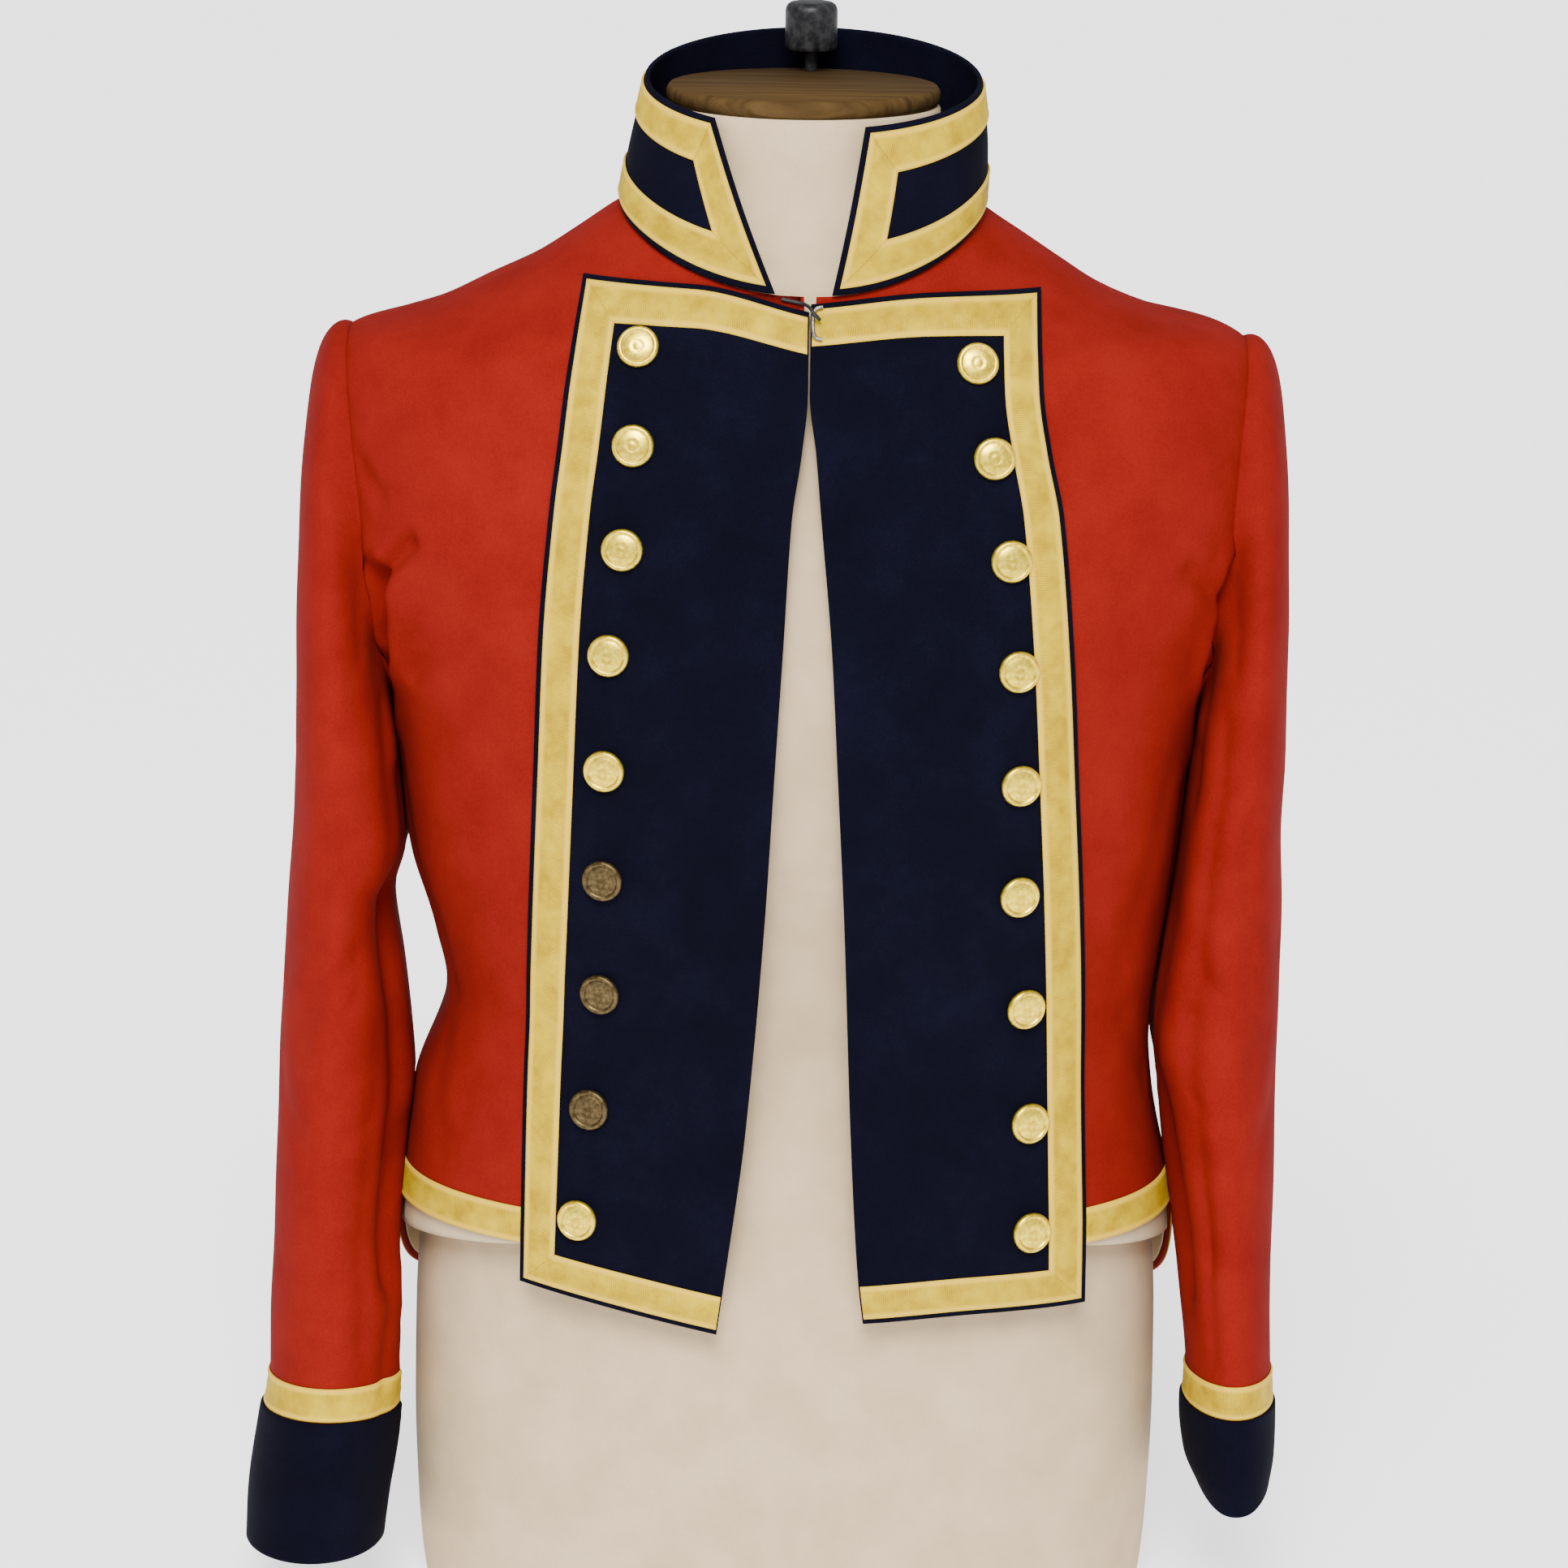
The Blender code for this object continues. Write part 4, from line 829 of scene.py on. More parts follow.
def hat(distance, depth, width):
    """A soft trough with a low ridge on both sides."""
    x = distance / width
    return depth * (0.45 * np.exp(-((x / 2.2) ** 2)) - np.exp(-(x**2)))


def relief(angle, height):
    """How far the folds and a slight unevenness move the body's cloth outwards."""
    angle, height = np.broadcast_arrays(angle, height)
    total = 0.00022 * np.sin(5 * angle + 19 * height + 0.7) * np.sin(23 * height - 3 * angle)
    total = total + 0.00016 * np.sin(11 * angle - 31 * height + 1.9)
    for row in BODY_FOLDS:
        total = total + hat(distance_to(row, angle, height, BODY_RADIUS), row[4], row[5])
    return total * np.clip((FOLDS_END - height) / 0.03, 0.15, 1)


def waist(angle, height):
    """How far the cloth is drawn in at the sides of the waist."""
    across = np.cos(angle)
    drawn = np.where(across < 0, WAIST["left"].within("in", height), WAIST["right"].within("in", height))
    return drawn * np.abs(across) ** 4


def body_wall(angle, height, lift):
    """A point on the body's cloth, with its folds."""
    return lifted(body_skin, angle, height, lift + relief(angle, height) - waist(angle, height))


def small_folds(side, turn, point):
    """How far the smaller folds move a point of the sleeve, towards or away from the middle of the arm."""
    push = np.zeros(np.shape(turn))
    for row in SMALL_FOLDS[side]:
        push = push - hat(distance_to(row, turn, point[..., 2], SLEEVE_RADIUS), row[4], row[5])
    push = push + 0.0003 * np.sin(4 * turn + 37 * point[..., 2]) * np.sin(51 * point[..., 2])
    across = np.stack([-SIDES[side] * np.sin(turn), np.cos(turn), 0 * turn], axis=-1)
    return across * push[..., None]


def pressed(side, turn, point):
    """Lays the inner side of a sleeve against the body, down to where the two part."""
    height = point[..., 2]
    front, behind, square = BODY.at("front behind square", height)
    depth = np.where(point[..., 1] < 0, front, behind)
    share = np.clip(np.abs(point[..., 1]) / depth, 0, 1)
    against = BODY.at(side, height) * (1 - share**square) ** (1 / square) + 2 * CLOTH + PRESS_GAP
    across = np.abs(point[..., 0])
    gap = (turn + math.pi / 2 + math.pi) % (2 * math.pi) - math.pi
    near = np.exp(-((gap / PRESS_WIDTH) ** 2))
    moved = np.maximum(across - against, 0) * PRESSED[side].within("held", height) * near
    swung = SWUNG_IN[side].within("in", height) * near
    moved = np.minimum(moved + swung, np.maximum(across - against, np.minimum(moved, swung)))
    point = point.copy()
    point[..., 0] -= SIDES[side] * moved
    return point


def worn_sleeve(side, turn, down):
    """A point on the inner face of a sleeve, with all of its folds, and flush with the body at its seam."""
    point = sleeve_skin(side, turn, down)
    away = np.clip(down / FOLDS_WHOLE, 0, 1)[..., None]
    angle, height = armhole(side, turn)
    seam = body_wall(angle, height, SEAM_GAP + 0 * angle) + np.array([SIDES[side] * HEAD_OUT, 0, 0])
    near = np.clip(1 - down / HEAD_FLUSH, 0, 1)[..., None] ** 2
    flush = (seam - lifted(body_skin, angle, height, CLOTH + SEAM_GAP)) * near
    point = pressed(side, turn, point + flush + small_folds(side, turn, point) * away)
    near_end = np.clip((down - CUFF_ROUND_FROM) / (2 - CUFF_ROUND_FROM), 0, 1) ** 2
    return point + UPWARD * (CUFF_ROUND[side] * np.sin(turn) ** 2 * near_end)[..., None]


def sleeve_wall(side):
    """Where points of a sleeve or its cuff go, from their turn, their place down the arm and their lift."""

    def skin(turn, down):
        return worn_sleeve(side, turn, down)

    return lambda turn, down, lift: lifted(skin, turn, down, lift, -SIDES[side])


def on_body(place, side):
    """Where points of a piece on the body go, from their place on the piece and their lift."""
    return lambda u, v, lift: body_wall(*place(side, u, v), lift)


def across_back(u, v, lift):
    """A point on both halves of the back, from the left side (-1) to the right side (1)."""
    left, right = (on_body(back_place, side)(np.abs(u), v, lift) for side in SIDES)
    return np.where((u < 0)[..., None], left, right)


def front_lining(side, share, down):
    """(angle, height) on the strip of lining below a front's hem, from the side seam to the lapel."""
    seam = swing(1.0, SIDE_HEM, side, "front")
    edge = swing(LAPEL[side].at("outer", SIDE_HEM) - STRIP_MARGIN, SIDE_HEM, side, "front")
    tall = STRIP_ABOVE + STRIP_BELOW * (1 - share) ** STRIP_CURVE
    return seam + (edge - seam) * share, SIDE_HEM + STRIP_ABOVE - tall * down


def with_rims(steps, margin):
    """Grid steps with one more close inside each end, for the rounding of an edge."""
    return np.concatenate([steps[:1], [steps[0] + margin], steps[1:-1], [steps[-1] - margin], steps[-1:]])


def lengths(points, axis):
    """How far along the points lie, measured on the cloth."""
    steps = np.linalg.norm(np.diff(points, axis=axis), axis=-1)
    return np.concatenate([np.zeros_like(np.take(steps, [0], axis)), np.cumsum(steps, axis)], axis)


def patch(low, high, round_u=False):
    """A closed sheet between two grids of points: its points, faces, and a place on the cloth per corner."""
    count_u, count_v = low.shape[:2]
    index = np.arange(count_u * count_v).reshape(count_u, count_v)
    outside = high
    if round_u:
        index = np.concatenate([index, index[:1]])
        outside = np.concatenate([high, high[:1]])
    spots = np.stack([lengths(outside, 0), lengths(outside, 1)], axis=-1).reshape(-1, 2)
    step = np.arange(index.size).reshape(index.shape)
    a, b, c, d = step[:-1, :-1], step[1:, :-1], step[1:, 1:], step[:-1, 1:]
    beyond = index.size
    faces = [
        np.stack([a, d, c, b], axis=-1).reshape(-1, 4),
        np.stack([a, b, c, d], axis=-1).reshape(-1, 4) + beyond,
    ]
    edges = [(step[1:, 0], step[:-1, 0]), (step[:-1, -1], step[1:, -1])]
    if not round_u:
        edges += [(step[-1, 1:], step[-1, :-1]), (step[0, :-1], step[0, 1:])]
    for first, second in edges:
        faces.append(np.stack([first + beyond, second + beyond, second, first], axis=-1))
    corners = np.concatenate(faces)
    vertex = np.concatenate([index.ravel(), index.ravel() + count_u * count_v])
    points = np.concatenate([low.reshape(-1, 3), high.reshape(-1, 3)])
    return points, vertex[corners], np.concatenate([spots, spots])[corners]


def sheet_grid(place, us, vs, low, high, round_u=False):
    """The patch of a piece of cloth over a grid, with its two faces drawn together at its edges."""
    u, v = np.meshgrid(us, vs, indexing="ij")
    drawn = np.zeros(u.shape)
    drawn[:, [0, -1]] = RIM_ROUND
    if not round_u:
        drawn[[0, -1], :] = RIM_ROUND
    drawn *= high - low
    return patch(place(u, v, low + drawn), place(u, v, high - drawn), round_u)


def lace_high(across):
    """The height of a woven lace across its width: two raised edges and a low crowned middle."""
    from_edge = np.minimum(across, 1 - across)
    edge = np.exp(-(((from_edge - 0.09) / 0.06) ** 2))
    sharp = np.clip(from_edge / 0.03, 0, 1)
    return LACE * (0.45 + 0.30 * edge + 0.25 * np.sin(np.pi * across)) * (0.55 + 0.45 * sharp)


def lace_strip(place, outer, inner, count, low):
    """A strip of lace between an outer line and an inner line, each from a first to a second corner."""
    along = with_rims(np.linspace(0, 1, count), LACE_RIM)
    share, over = np.meshgrid(along, LACE_STEPS, indexing="ij")
    first, second = ([a + (b - a) * share for a, b in zip(*line)] for line in (outer, inner))
    u, v = (a + (b - a) * over for a, b in zip(first, second))
    ends = np.clip(np.minimum(share, 1 - share) / LACE_RIM, 0, 1)
    high = low + lace_high(over) * (0.9 + 0.1 * ends)
    points, faces, spots = patch(place(u, v, low + 0 * high), place(u, v, high))
    across = np.concatenate([over.ravel(), over.ravel()])[faces] * LACE_WIDTH
    return points, faces, np.stack([spots[..., 0], across], axis=-1)


def added(name, data):
    """A new object in the scene."""
    made = bpy.data.objects.new(name, data)
    bpy.context.scene.collection.objects.link(made)
    return made


def worn(name, points, faces, look, spots=None, sharp=None, place=(0, 0, 0), turn=(0, 0, 0)):
    """The piece that stands for the solid of its name."""
    mesh = bpy.data.meshes.new(f"worn_{name}")
    mesh.from_pydata(points, [], faces)
    if spots is not None:
        layer = mesh.uv_layers.new(name="cloth")
        layer.data.foreach_set("uv", spots.reshape(-1).astype(np.float32))
    mesh.shade_smooth()
    if sharp:
        mesh.set_sharp_from_angle(angle=math.radians(sharp))
    mesh.materials.append(look)
    made = added(f"worn_{name}", mesh)
    made.location = place
    made.rotation_euler = turn
    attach(made, "root")
    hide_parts(name)
    pieces[name] = made


def cloth_piece(name, patches, look):
    """A piece of closed patches, with their faces turned outwards. Its flat size is that of the first."""
    points, faces, spots, start = [], [], [], 0
    for some, quads, places in patches:
        a, b, c, d = (some[quads[:, k]] for k in range(4))
        volume = np.einsum("ij,ij->i", np.cross(b - a, c - a) + np.cross(c - a, d - a), a).sum()
        if volume < 0:
            quads, places = quads[:, ::-1], places[:, ::-1]
        points.append(some)
        faces.append(quads + start)
        spots.append(places)
        start += len(some)
    points, faces, spots = (np.concatenate(part) for part in (points, faces, spots))
    worn(name, points.tolist(), faces.tolist(), look, spots)
    flats[name] = tuple(float(round(value, 3)) for value in patches[0][2].reshape(-1, 2).max(axis=0))


def lathe(name, profile, count, look, place, turn=(0, 0, 0)):
    """A piece turned about Z from a profile that runs down its outer side, top to bottom."""
    turns = np.linspace(0, 2 * math.pi, count, endpoint=False)
    rings = profile[1:-1]
    points = [(0, 0, profile[0][1])]
    points += [(r * math.cos(t), r * math.sin(t), z) for r, z in rings for t in turns]
    points.append((0, 0, profile[-1][1]))
    faces = [(0, 1 + k, 1 + (k + 1) % count) for k in range(count)]
    for ring in range(len(rings) - 1):
        for k in range(count):
            a, b = 1 + ring * count + k, 1 + ring * count + (k + 1) % count
            faces.append((a, a + count, b + count, b))
    last = 1 + (len(rings) - 1) * count
    faces += [(last + (k + 1) % count, last + k, len(points) - 1) for k in range(count)]
    worn(name, points, faces, look, sharp=50, place=place, turn=turn)


def closed_rings(name, rings, look):
    """A piece through rings of as many points each, which turn to the left about the way they follow."""
    count = len(rings[0])
    faces = [tuple(range(count))[::-1]]
    for ring in range(len(rings) - 1):
        for step in range(count):
            a, b = ring * count + step, ring * count + (step + 1) % count
            faces.append((a, b, b + count, a + count))
    faces.append(tuple((len(rings) - 1) * count + step for step in range(count)))
    worn(name, np.concatenate(rings).tolist(), faces, look, sharp=60)


def wire(name, points, look):
    """A bent wire with closed ends, smooth along its length."""
    steps = np.linspace(0, len(points) - 1, 6 * len(points))
    rows = Table("step x y z", *[(k, *point) for k, point in enumerate(points)])
    points = np.stack(rows.at("x y z", steps), axis=-1)
    ways = np.gradient(points, axis=0)
    ways /= np.linalg.norm(ways, axis=1, keepdims=True)
    sideways = np.cross(ways, [0.0, 1.0, 0.0])
    sideways /= np.linalg.norm(sideways, axis=1, keepdims=True)
    around = np.linspace(0, 2 * math.pi, 12, endpoint=False)
    rings = []
    for point, aside, upright in zip(points, sideways, np.cross(ways, sideways)):
        ring = np.outer(np.cos(around), aside) + np.outer(np.sin(around), upright)
        rings.append(point + WIRE_RADIUS * ring)
    closed_rings(name, rings, look)


def as_sheet(rests_on, with_pieces=()):
    """Looks up the pieces a cloth rests on and those sewn on it, and does nothing more with them."""
    rests_on = tuple(f"worn_{other}" for other in rests_on)
    with_pieces = [pieces[other] for other in with_pieces]


class Look:
    """A material in the making. A socket is given a number, a colour or another socket."""

    def __init__(self, name, roughness, metallic=0.0, specular=0.5):
        self.made = bpy.data.materials.new(name)
        self.made.use_nodes = True
        self.tree = self.made.node_tree
        self.shader = self.tree.nodes["Principled BSDF"]
        self.feed(self.shader, {"Roughness": roughness, "Metallic": metallic, "Specular IOR Level": specular})

    def feed(self, node, values):
        """Gives sockets of a node their values."""
        for key, value in values.items():
            if isinstance(value, bpy.types.NodeSocket):
                self.tree.links.new(value, node.inputs[key])
            else:
                node.inputs[key].default_value = value

    def node(self, kind, output, values=(), **settings):
        """The output of a new node."""
        made = self.tree.nodes.new(f"ShaderNode{kind}")
        for name, value in settings.items():
            setattr(made, name, value)
        self.feed(made, dict(values))
        return made.outputs[output]

    def math(self, operation, *values):
        return self.node("Math", 0, enumerate(values), operation=operation)

    def noise(self, scale, detail, roughness=0.6):
        place = self.node("TexCoord", "Object")
        values = {"Vector": place, "Scale": scale, "Detail": detail, "Roughness": roughness}
        return self.node("TexNoise", "Fac", values)

    def axis(self, name, space="Object"):
        """One coordinate of the place, in the object or on the cloth."""
        return self.node("SeparateXYZ", name, {0: self.node("TexCoord", space)})

    def waves(self, value, spacing):
        """A wave, from -1 to 1, for each spacing of a value."""
        return self.math("SINE", self.math("MULTIPLY", value, 2 * math.pi / spacing))

    def blend(self, first, share, second):
        """A share of one value and the rest of another."""
        return self.math("MULTIPLY_ADD", first, share, self.math("MULTIPLY", second, 1 - share))

    def ramp(self, value, *stops):
        """A colour ramp with a stop at each place."""
        made = self.tree.nodes.new("ShaderNodeValToRGB")
        elements = made.color_ramp.elements
        for place, colour in stops[2:]:
            elements.new(place)
        for element, (place, colour) in zip(elements, stops):
            element.position = place
            element.color = (*colour, 1)
        self.feed(made, {"Fac": value})
        return made.outputs["Color"]

    def done(self, colour, bumps, depth, strength):
        """The material, with its colour and its small bumps."""
        normal = self.node("Bump", "Normal", {"Distance": depth, "Strength": strength, "Height": bumps})
        self.feed(self.shader, {"Base Color": colour, "Normal": normal})
        return self.made


def wool(name, dark, middle, light):
    """A milled woollen cloth: mottled, with a short nap and no weave to see."""
    look = Look(name, 0.95, specular=0.06)
    fine = look.noise(900, 3, 0.7)
    tone = look.blend(fine, 0.45, look.noise(28, 5))
    return look.done(look.ramp(tone, (0.36, dark), (0.5, middle), (0.66, light)), fine, 0.00035, 0.55)


def woven(name, dark, light, spacing, depth):
    """A plain cotton weave, with threads both ways."""
    look = Look(name, 0.85, specular=0.3)
    warp = look.waves(look.math("ADD", look.axis("X"), look.axis("Y")), spacing)
    weft = look.waves(look.axis("Z"), spacing)
    weave = look.math("MULTIPLY_ADD", look.math("MULTIPLY", warp, weft), 0.25, 0.5)
    mottled = look.math("MULTIPLY_ADD", look.noise(34, 6), 0.8, 0.1)
    tone = look.blend(weave, 0.35, mottled)
    return look.done(look.ramp(tone, (0.3, dark), (0.7, light)), weave, depth, 0.6)


def lace_cloth(name):
    """Gold lace: cross ribs, a ridge down each edge that is paler, and worn patches."""
    look = Look(name, 0.62, specular=0.08)
    across = look.math("MULTIPLY", look.axis("Y", "UV"), 1 / LACE_WIDTH)
    from_middle = look.math("ABSOLUTE", look.math("SUBTRACT", across, 0.5))
    ribs = look.waves(look.math("MULTIPLY_ADD", from_middle, 0.008, look.axis("X", "UV")), LACE_RIB)
    weave = look.math("MULTIPLY_ADD", look.math("MULTIPLY", ribs, look.waves(across, 1 / 9)), 0.5, 0.5)
    tone = look.blend(weave, 0.28, look.noise(75, 6, 0.65))
    gold = ((0.30, (0.27, 0.165, 0.002)), (0.5, (0.47, 0.31, 0.003)), (0.68, (0.62, 0.44, 0.010)))
    edge = look.ramp(from_middle, (0.30, (0, 0, 0)), (0.40, (1, 1, 1)), (0.50, (0.75, 0.75, 0.75)))
    sockets = {0: edge, 6: look.ramp(tone, *gold), 7: (0.68, 0.44, 0.030, 1)}
    return look.done(look.node("Mix", 2, sockets, data_type="RGBA"), weave, 0.0003, 0.7)


def spotted(name, dark, light, roughness, metallic, scale, depth, specular=0.5):
    """A hard surface with small marks."""
    look = Look(name, roughness, metallic, specular)
    marks = look.noise(scale, 5)
    return look.done(look.ramp(marks, (0.38, dark), (0.62, light)), marks, depth, 0.5)


def wood_grain(name):
    """Dark wood with its grain running from side to side."""
    look = Look(name, 0.75, specular=0.08)
    place = look.node("Mapping", 0, {"Vector": look.node("TexCoord", "Object"), "Scale": (9, 160, 60)})
    grain = look.node("TexNoise", "Fac", {"Vector": place, "Scale": 1.0, "Detail": 6, "Distortion": 1.2})
    colour = look.ramp(grain, (0.3, (0.032, 0.016, 0.004)), (0.7, (0.070, 0.040, 0.012)))
    return look.done(colour, grain, 0.0002, 0.5)


scarlet = wool("scarlet_wool", (0.140, 0.0048, 0.0032), (0.166, 0.0064, 0.0040), (0.192, 0.0088, 0.0052))
navy = wool("navy_wool", (0.0009, 0.0009, 0.0038), (0.0014, 0.0014, 0.0058), (0.0026, 0.0027, 0.0095))
gold = lace_cloth("gold_lace_woven")
cream = woven("cream_cotton", (0.44, 0.34, 0.19), (0.60, 0.49, 0.31), 0.0007, 0.0001)
calico = woven("calico_weave", (0.42, 0.31, 0.175), (0.59, 0.45, 0.275), 0.0010, 0.00015)
gilt = spotted("gilt_metal", (0.62, 0.42, 0.018), (0.90, 0.70, 0.055), 0.36, 0.90, 420, 0.00012)
# A much darker copy of the gilt, for three of the buttons
darker_gilt = spotted("gilt_darker", (0.05, 0.032, 0.010), (0.12, 0.085, 0.035), 0.42, 0.90, 420, 0.00012)
hook_black = spotted("hook_black", (0.004, 0.004, 0.005), (0.010, 0.010, 0.012), 0.5, 0.0, 900, 0.00005, 0.3)
eye_steel = spotted("eye_steel", (0.10, 0.10, 0.10), (0.26, 0.25, 0.24), 0.4, 1.0, 900, 0.00005)
wood = wood_grain("cap_wood")
ebony = spotted("knob_gloss", (0.003, 0.003, 0.0035), (0.022, 0.021, 0.022), 0.45, 0.0, 260, 0.0002, 0.2)

pieces, flats = {}, {}

# The cloth of the body
columns = with_rims(np.linspace(0, 1 - SEAM_TRIM, 92), 0.003)
rows = with_rims(np.concatenate([np.linspace(0, NECK_ROW, 120), np.linspace(NECK_ROW, 1, 46)[1:]]), 0.0012)
rows[-1] -= SEAM_TRIM
for side in SIDES:
    for face, place in PLACES.items():
        sheet = sheet_grid(on_body(place, side), columns, rows, 0.0, CLOTH)
        cloth_piece(f"{face}_{side}", [sheet], scarlet)

# The lining of the back, with the strips of it that show below the fronts
columns = with_rims(np.linspace(-1 + SEAM_TRIM, 1 - SEAM_TRIM, 130), 0.002)
rows = with_rims(np.linspace(0.006, 0.24, 24), 0.0012)
linings = [sheet_grid(across_back, columns, rows, -LINING_GAP - LINING, -LINING_GAP)]
columns, rows = np.linspace(0.002, 1, 40), np.linspace(0, 1, 10)
for side in SIDES:
    place = on_body(front_lining, side)
    linings.append(sheet_grid(place, columns, rows, -STRIP_GAP - LINING, -STRIP_GAP))
cloth_piece("back_lining", linings, cream)

# The lace of the hem
for name, place, first, last, count in (
    ("back", across_back, -1 + SEAM_TRIM, 1 - SEAM_TRIM, 150),
    ("left", on_body(front_place, "left"), 0.5 + 2 * SEAM_TRIM, 1 - SEAM_TRIM, 50),
    ("right", on_body(front_place, "right"), 0.5 + 2 * SEAM_TRIM, 1 - SEAM_TRIM, 50),
):
    outer, inner = (((first, row), (last, row)) for row in (HEM_LACE_ROW, LACE_ROW))
    strip = lace_strip(place, outer, inner, count, RED_LACE_LIFT)
    cloth_piece(f"hem_braid_{name}", [strip], gold)

# The lapels, with their lace: one strip down the outer side, and one each along the top and the bottom
columns = with_rims(np.linspace(0, 1, 52), 0.006)
rows = with_rims(np.linspace(0, 1, 170), 0.0012)
mitre, end_p = 0.0001, 1 - 0.006
low_q, lower_q = LACE_EDGE / LAPEL_TALL, (LACE_INSET + LACE_WIDTH) / LAPEL_TALL
for side in SIDES:
    place = on_body(lapel_place, side)
    sheet = sheet_grid(place, columns, rows, LAPEL_LIFT, LAPEL_LIFT + FACING)
    cloth_piece(f"lapel_{side}", [sheet], navy)
    outer_edge, centre_edge = LAPEL[side].at("outer centre", [0.3, 0.6])
    wide = float(np.mean(outer_edge - centre_edge))
    near_p, far_p = LACE_EDGE / wide, (LACE_INSET + LACE_WIDTH) / wide
    outer, inner = ((near_p, low_q), (near_p, 1 - low_q)), ((far_p, lower_q), (far_p, 1 - lower_q))
    strips = [lace_strip(place, outer, inner, 190, LAPEL_LACE_LIFT)]
    for near_q, far_q in ((1 - low_q, 1 - lower_q), (low_q, lower_q)):
        outer = (near_p + mitre, near_q), (end_p, near_q)
        inner = (far_p + mitre, far_q), (end_p, far_q)
        strips.append(lace_strip(place, outer, inner, 60, LAPEL_LACE_LIFT))
    cloth_piece(f"lapel_braid_{side}", strips, gold)

# The collar, with its lace
columns = with_rims(np.linspace(0, 1, 130), 0.0014)
rows = with_rims(np.linspace(0, 1, 30), 0.010)
cloth_piece("collar", [sheet_grid(collar_wall, columns, rows, 0.0, COLLAR_CLOTH)], navy)
near_u, far_u = LACE_EDGE / COLLAR_LENGTH, (LACE_INSET + LACE_WIDTH) / COLLAR_LENGTH
near_v, far_v = LACE_EDGE / COLLAR_HEIGHT, (LACE_INSET + LACE_WIDTH) / COLLAR_HEIGHT
mitre = 0.00003
strips = []
for v_near, v_far in ((near_v, far_v), (1 - near_v, 1 - far_v)):
    outer = (near_u + mitre, v_near), (1 - near_u - mitre, v_near)
    inner = (far_u + mitre, v_far), (1 - far_u - mitre, v_far)
    strips.append(lace_strip(collar_wall, outer, inner, 130, COLLAR_CLOTH + SEAM_GAP))
for u_near, u_far in ((near_u, far_u), (1 - near_u, 1 - far_u)):
    outer = (u_near, near_v), (u_near, 1 - near_v)
    inner = (u_far, far_v), (u_far, 1 - far_v)
    strips.append(lace_strip(collar_wall, outer, inner, 26, COLLAR_CLOTH + SEAM_GAP))
cloth_piece("collar_braid", strips, gold)

# The sleeves and cuffs
turns = np.radians(np.linspace(-90, 270, 121)[:-1])
lace_start, lace_end = float(turns[0]), float(turns[0]) + 2 * math.pi - 0.004
rows = with_rims(np.concatenate([np.linspace(0, 1, 60), np.linspace(1, 2 - CUFF_HANG, 110)[1:]]), 0.003)
low = CLOTH + SEAM_GAP
for side in SIDES:
    place = sleeve_wall(side)
    sheet = sheet_grid(place, turns, rows, 0.0, CLOTH, True)
    cloth_piece(f"sleeve_{side}", [sheet], scarlet)
    cuff_top, lace_top = (float(down_at(side, CUFF_TOP[side] + up)) for up in (0, LACE_WIDTH))
    cuff_rows = with_rims(np.linspace(cuff_top, 2, 30), 0.002)
    sheet = sheet_grid(place, turns, cuff_rows, low, low + CLOTH, True)
    cloth_piece(f"cuff_{side}", [sheet], navy)
    outer, inner = (((lace_start, row), (lace_end, row)) for row in (cuff_top - SEAM_TRIM, lace_top))
    strip = lace_strip(place, outer, inner, 120, RED_LACE_LIFT)
    cloth_piece(f"cuff_braid_{side}", [strip], gold)

# The buttons
profile = [(r * BUTTON_RADIUS, z * BUTTON_HEIGHT) for r, z in BUTTON_FACE]
for side in SIDES:
    for number in range(1, BUTTON_COUNT + 1):
        across, height = BUTTONS[side].at("across height", number)
        angle = swing(across, height, side, "front")
        foot = body_wall(angle, height, LAPEL_LACE_LIFT)
        facing = lifted(body_skin, angle, height, 1.0) - body_skin(angle, height)
        turn = (0, math.acos(facing[2]), math.atan2(facing[1], facing[0]))
        look = darker_gilt if (side, number) in DARKER_BUTTONS else gilt
        lathe(f"button_{side}_{number}", profile, 40, look, foot, turn)

# The hook and the eye
seat = LAPEL_LACE_LIFT + LACE + SEAM_GAP + WIRE_RADIUS
for name, bends, look in (("hook", HOOK, hook_black), ("eye", EYE, eye_steel)):
    points = []
    for across, up, out in bends:
        height = HOOK_HEIGHT + up
        points.append(body_wall(swing(across, height, "right", "front"), height, seat + out))
    wire(name, points, look)

# The dress form
FORM = Table("height left right front behind square", *form_rows())
turns = np.radians(np.arange(0, 360, 2.5))
top = FORM.steps[-1]
foot_edge = np.linspace(0, FORM_FOOT_EDGE, 3)
heights = np.concatenate([foot_edge, np.linspace(FORM_FOOT_EDGE, top - FORM_TOP_EDGE, 150)[1:], [top]])
rings = []
for height in heights:
    *sizes, square = FORM.at("left right front behind square", height)
    rings.append(section(turns, height, sizes, square, -FORM_TOP_ROUND if height == top else 0.0))
closed_rings("form_torso", rings, calico)
foot = top + SEAM_GAP
rings = []
for up, drawn_in in ((0, 1), (0.15, 0.4), (0.3, 0), (0.7, 0), (0.85, 0.4), (1, 1)):
    rings.append(section(turns, foot + up * CAP_THICKNESS, sizes, square, -drawn_in * CAP_EDGE))
closed_rings("form_cap", rings, wood)
profile = [(r * KNOB_RADIUS, KNOB_UNDERSIDE + z * (KNOB_TOP - KNOB_UNDERSIDE)) for r, z in KNOB_PROFILE]
stem_foot = foot + CAP_THICKNESS + SEAM_GAP
profile += [(STEM_RADIUS, KNOB_UNDERSIDE - KNOB_UNDERCUT), (STEM_RADIUS, stem_foot), (0.0, stem_foot)]
lathe("form_knob", profile, 48, ebony, (*KNOB_PLACE, 0.0))
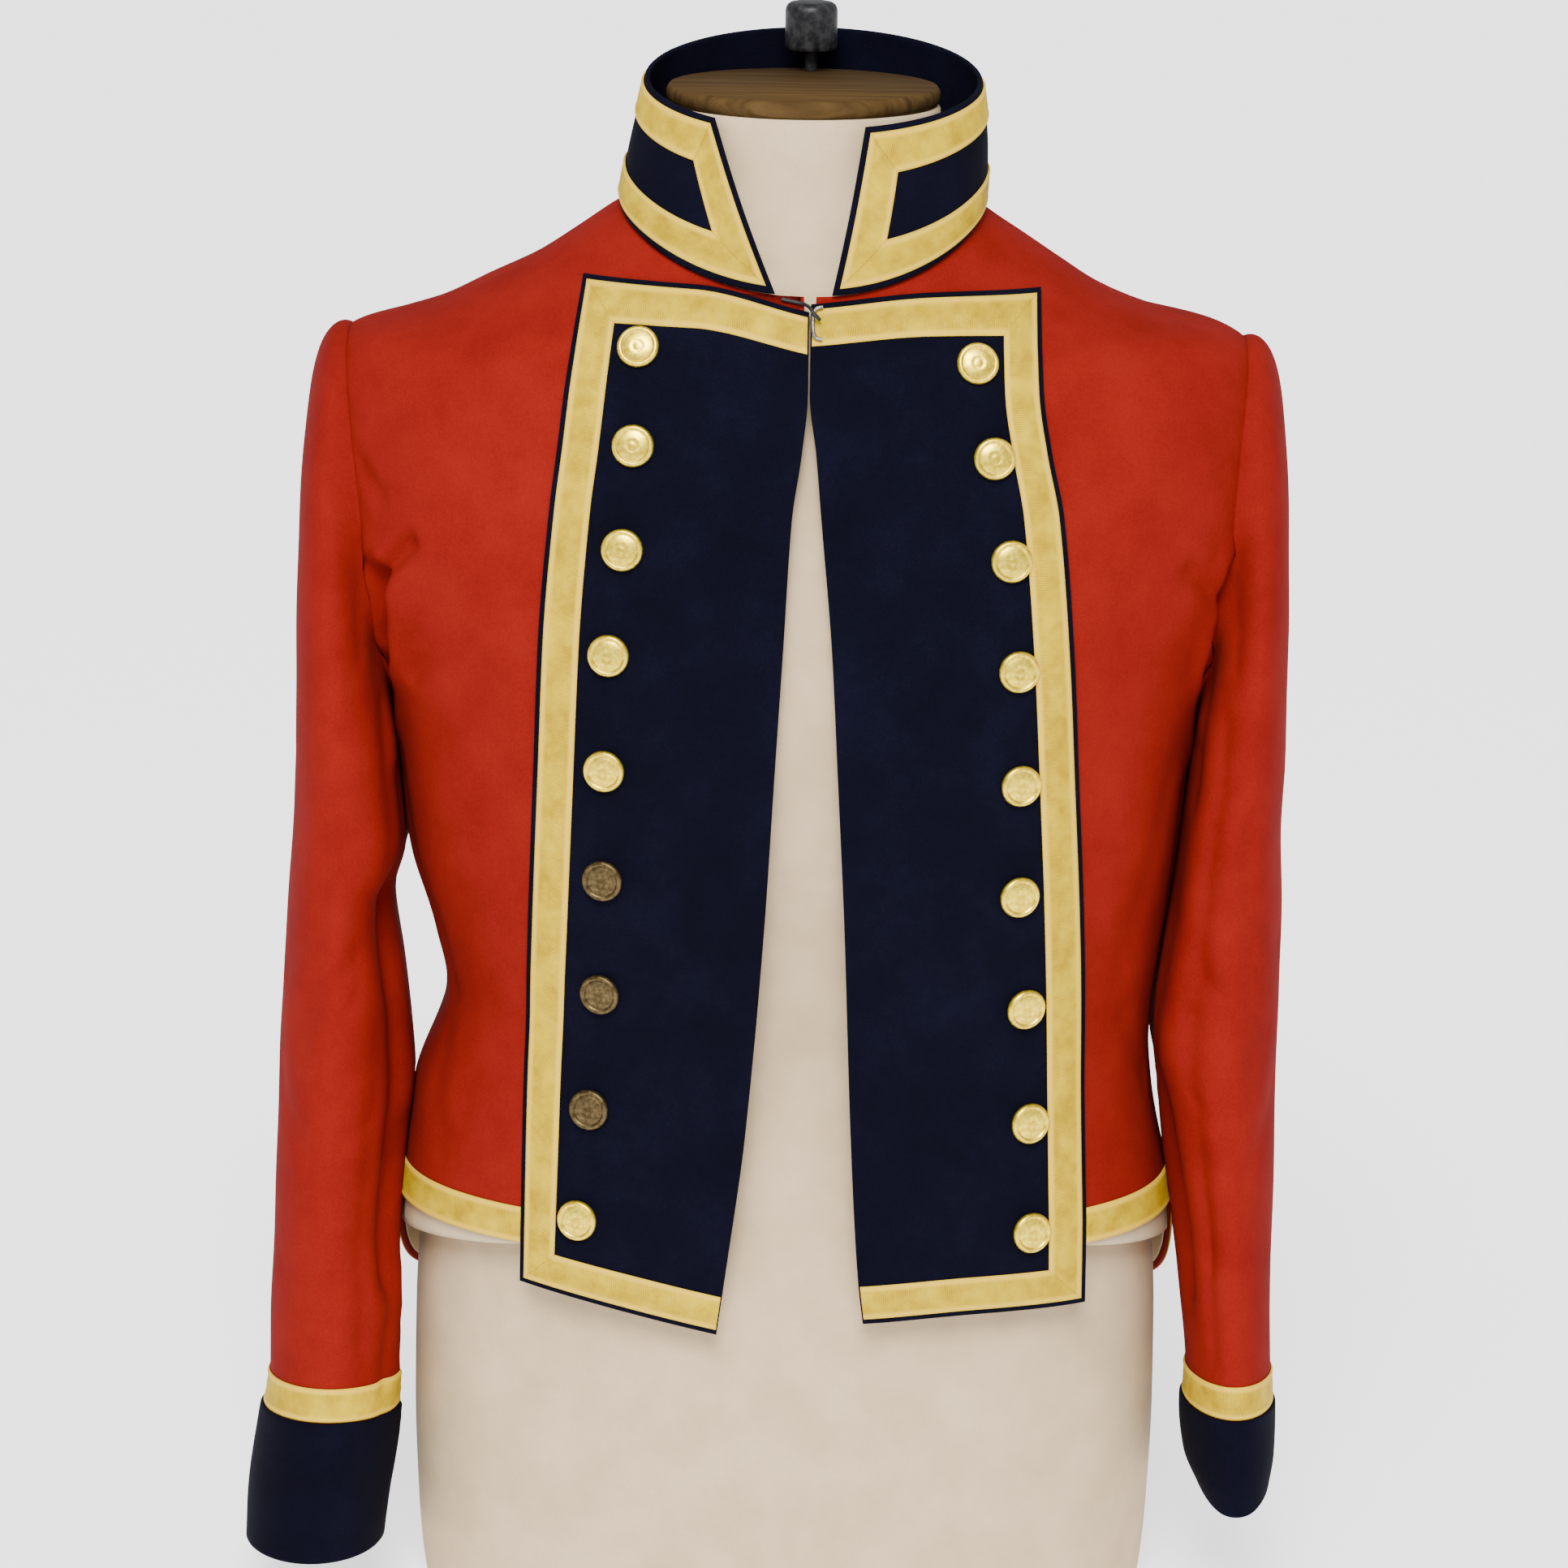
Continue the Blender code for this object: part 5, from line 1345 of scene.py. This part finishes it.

# The pieces each cloth rests on and those sewn on it, looked up and left unused
for side in SIDES:
    sewn = [f"button_{side}_{number}" for number in range(1, BUTTON_COUNT + 1)]
    sewn += [f"lapel_braid_{side}", "hook" if side == "left" else "eye"]
    body = (f"front_{side}", f"back_{side}")
    as_sheet(["form_torso"], [f"hem_braid_{side}"])
    as_sheet(["form_torso"], ["hem_braid_back"] if side == "left" else [])
    as_sheet(body[:1], sewn)
    as_sheet(body, [f"cuff_braid_{side}"])
    as_sheet([f"sleeve_{side}"])
backs = ("back_left", "back_right")
as_sheet(backs)
as_sheet(backs + ("front_left", "front_right"), ["collar_braid"])

# The room and the light
floor_mesh = bpy.data.meshes.new("floor")
floor_mesh.from_pydata([(-12, -6, 0), (12, -6, 0), (12, 14, 0), (-12, 14, 0)], [], [(0, 1, 2, 3)])
paper = Look("floor_paper", 0.95, specular=0.1)
tint, glow = (0.92, 0.905, 0.925, 1), (0.96, 0.94, 1.0, 1)
paper.feed(paper.shader, {"Base Color": tint, "Emission Color": glow, "Emission Strength": 1.25})
floor_mesh.materials.append(paper.made)
added("floor", floor_mesh)

world = bpy.data.worlds.new("studio")
world.use_nodes = True
sky = world.node_tree.nodes["Background"].inputs
sky["Color"].default_value = (0.95, 0.96, 1.0, 1)
sky["Strength"].default_value = 0.80
bpy.context.scene.world = world

sun_data = bpy.data.lights.new("window", "SUN")
sun_data.energy = 4.2
sun_data.angle = math.radians(24)
added("window", sun_data).rotation_euler = Vector((0.02, 1.0, -0.9)).to_track_quat("-Z", "Y").to_euler()

lamp_data = bpy.data.lights.new("lamp", "AREA")
lamp_data.size = 0.8
lamp_data.energy = 24
lamp = added("lamp", lamp_data)
lamp.location = (-0.25, -1.2, 1.95)
lamp.rotation_euler = (Vector((0, 0, 0.55)) - lamp.location).to_track_quat("-Z", "Y").to_euler()

# The camera
EYE_PLACE = Vector((-0.004, -3.0, 1.198))
PITCH = math.radians(14.5)
ROLL = math.radians(0.85)
camera_data = bpy.data.cameras.new("photo_camera")
camera_data.lens = 141.6
camera_data.sensor_width = 36.0
camera = added("photo_camera", camera_data)
turn = Matrix.Rotation(math.pi / 2 - PITCH, 4, "X") @ Matrix.Rotation(ROLL, 4, "Z")
camera.matrix_world = Matrix.Translation(EYE_PLACE) @ turn
bpy.context.scene.camera = camera
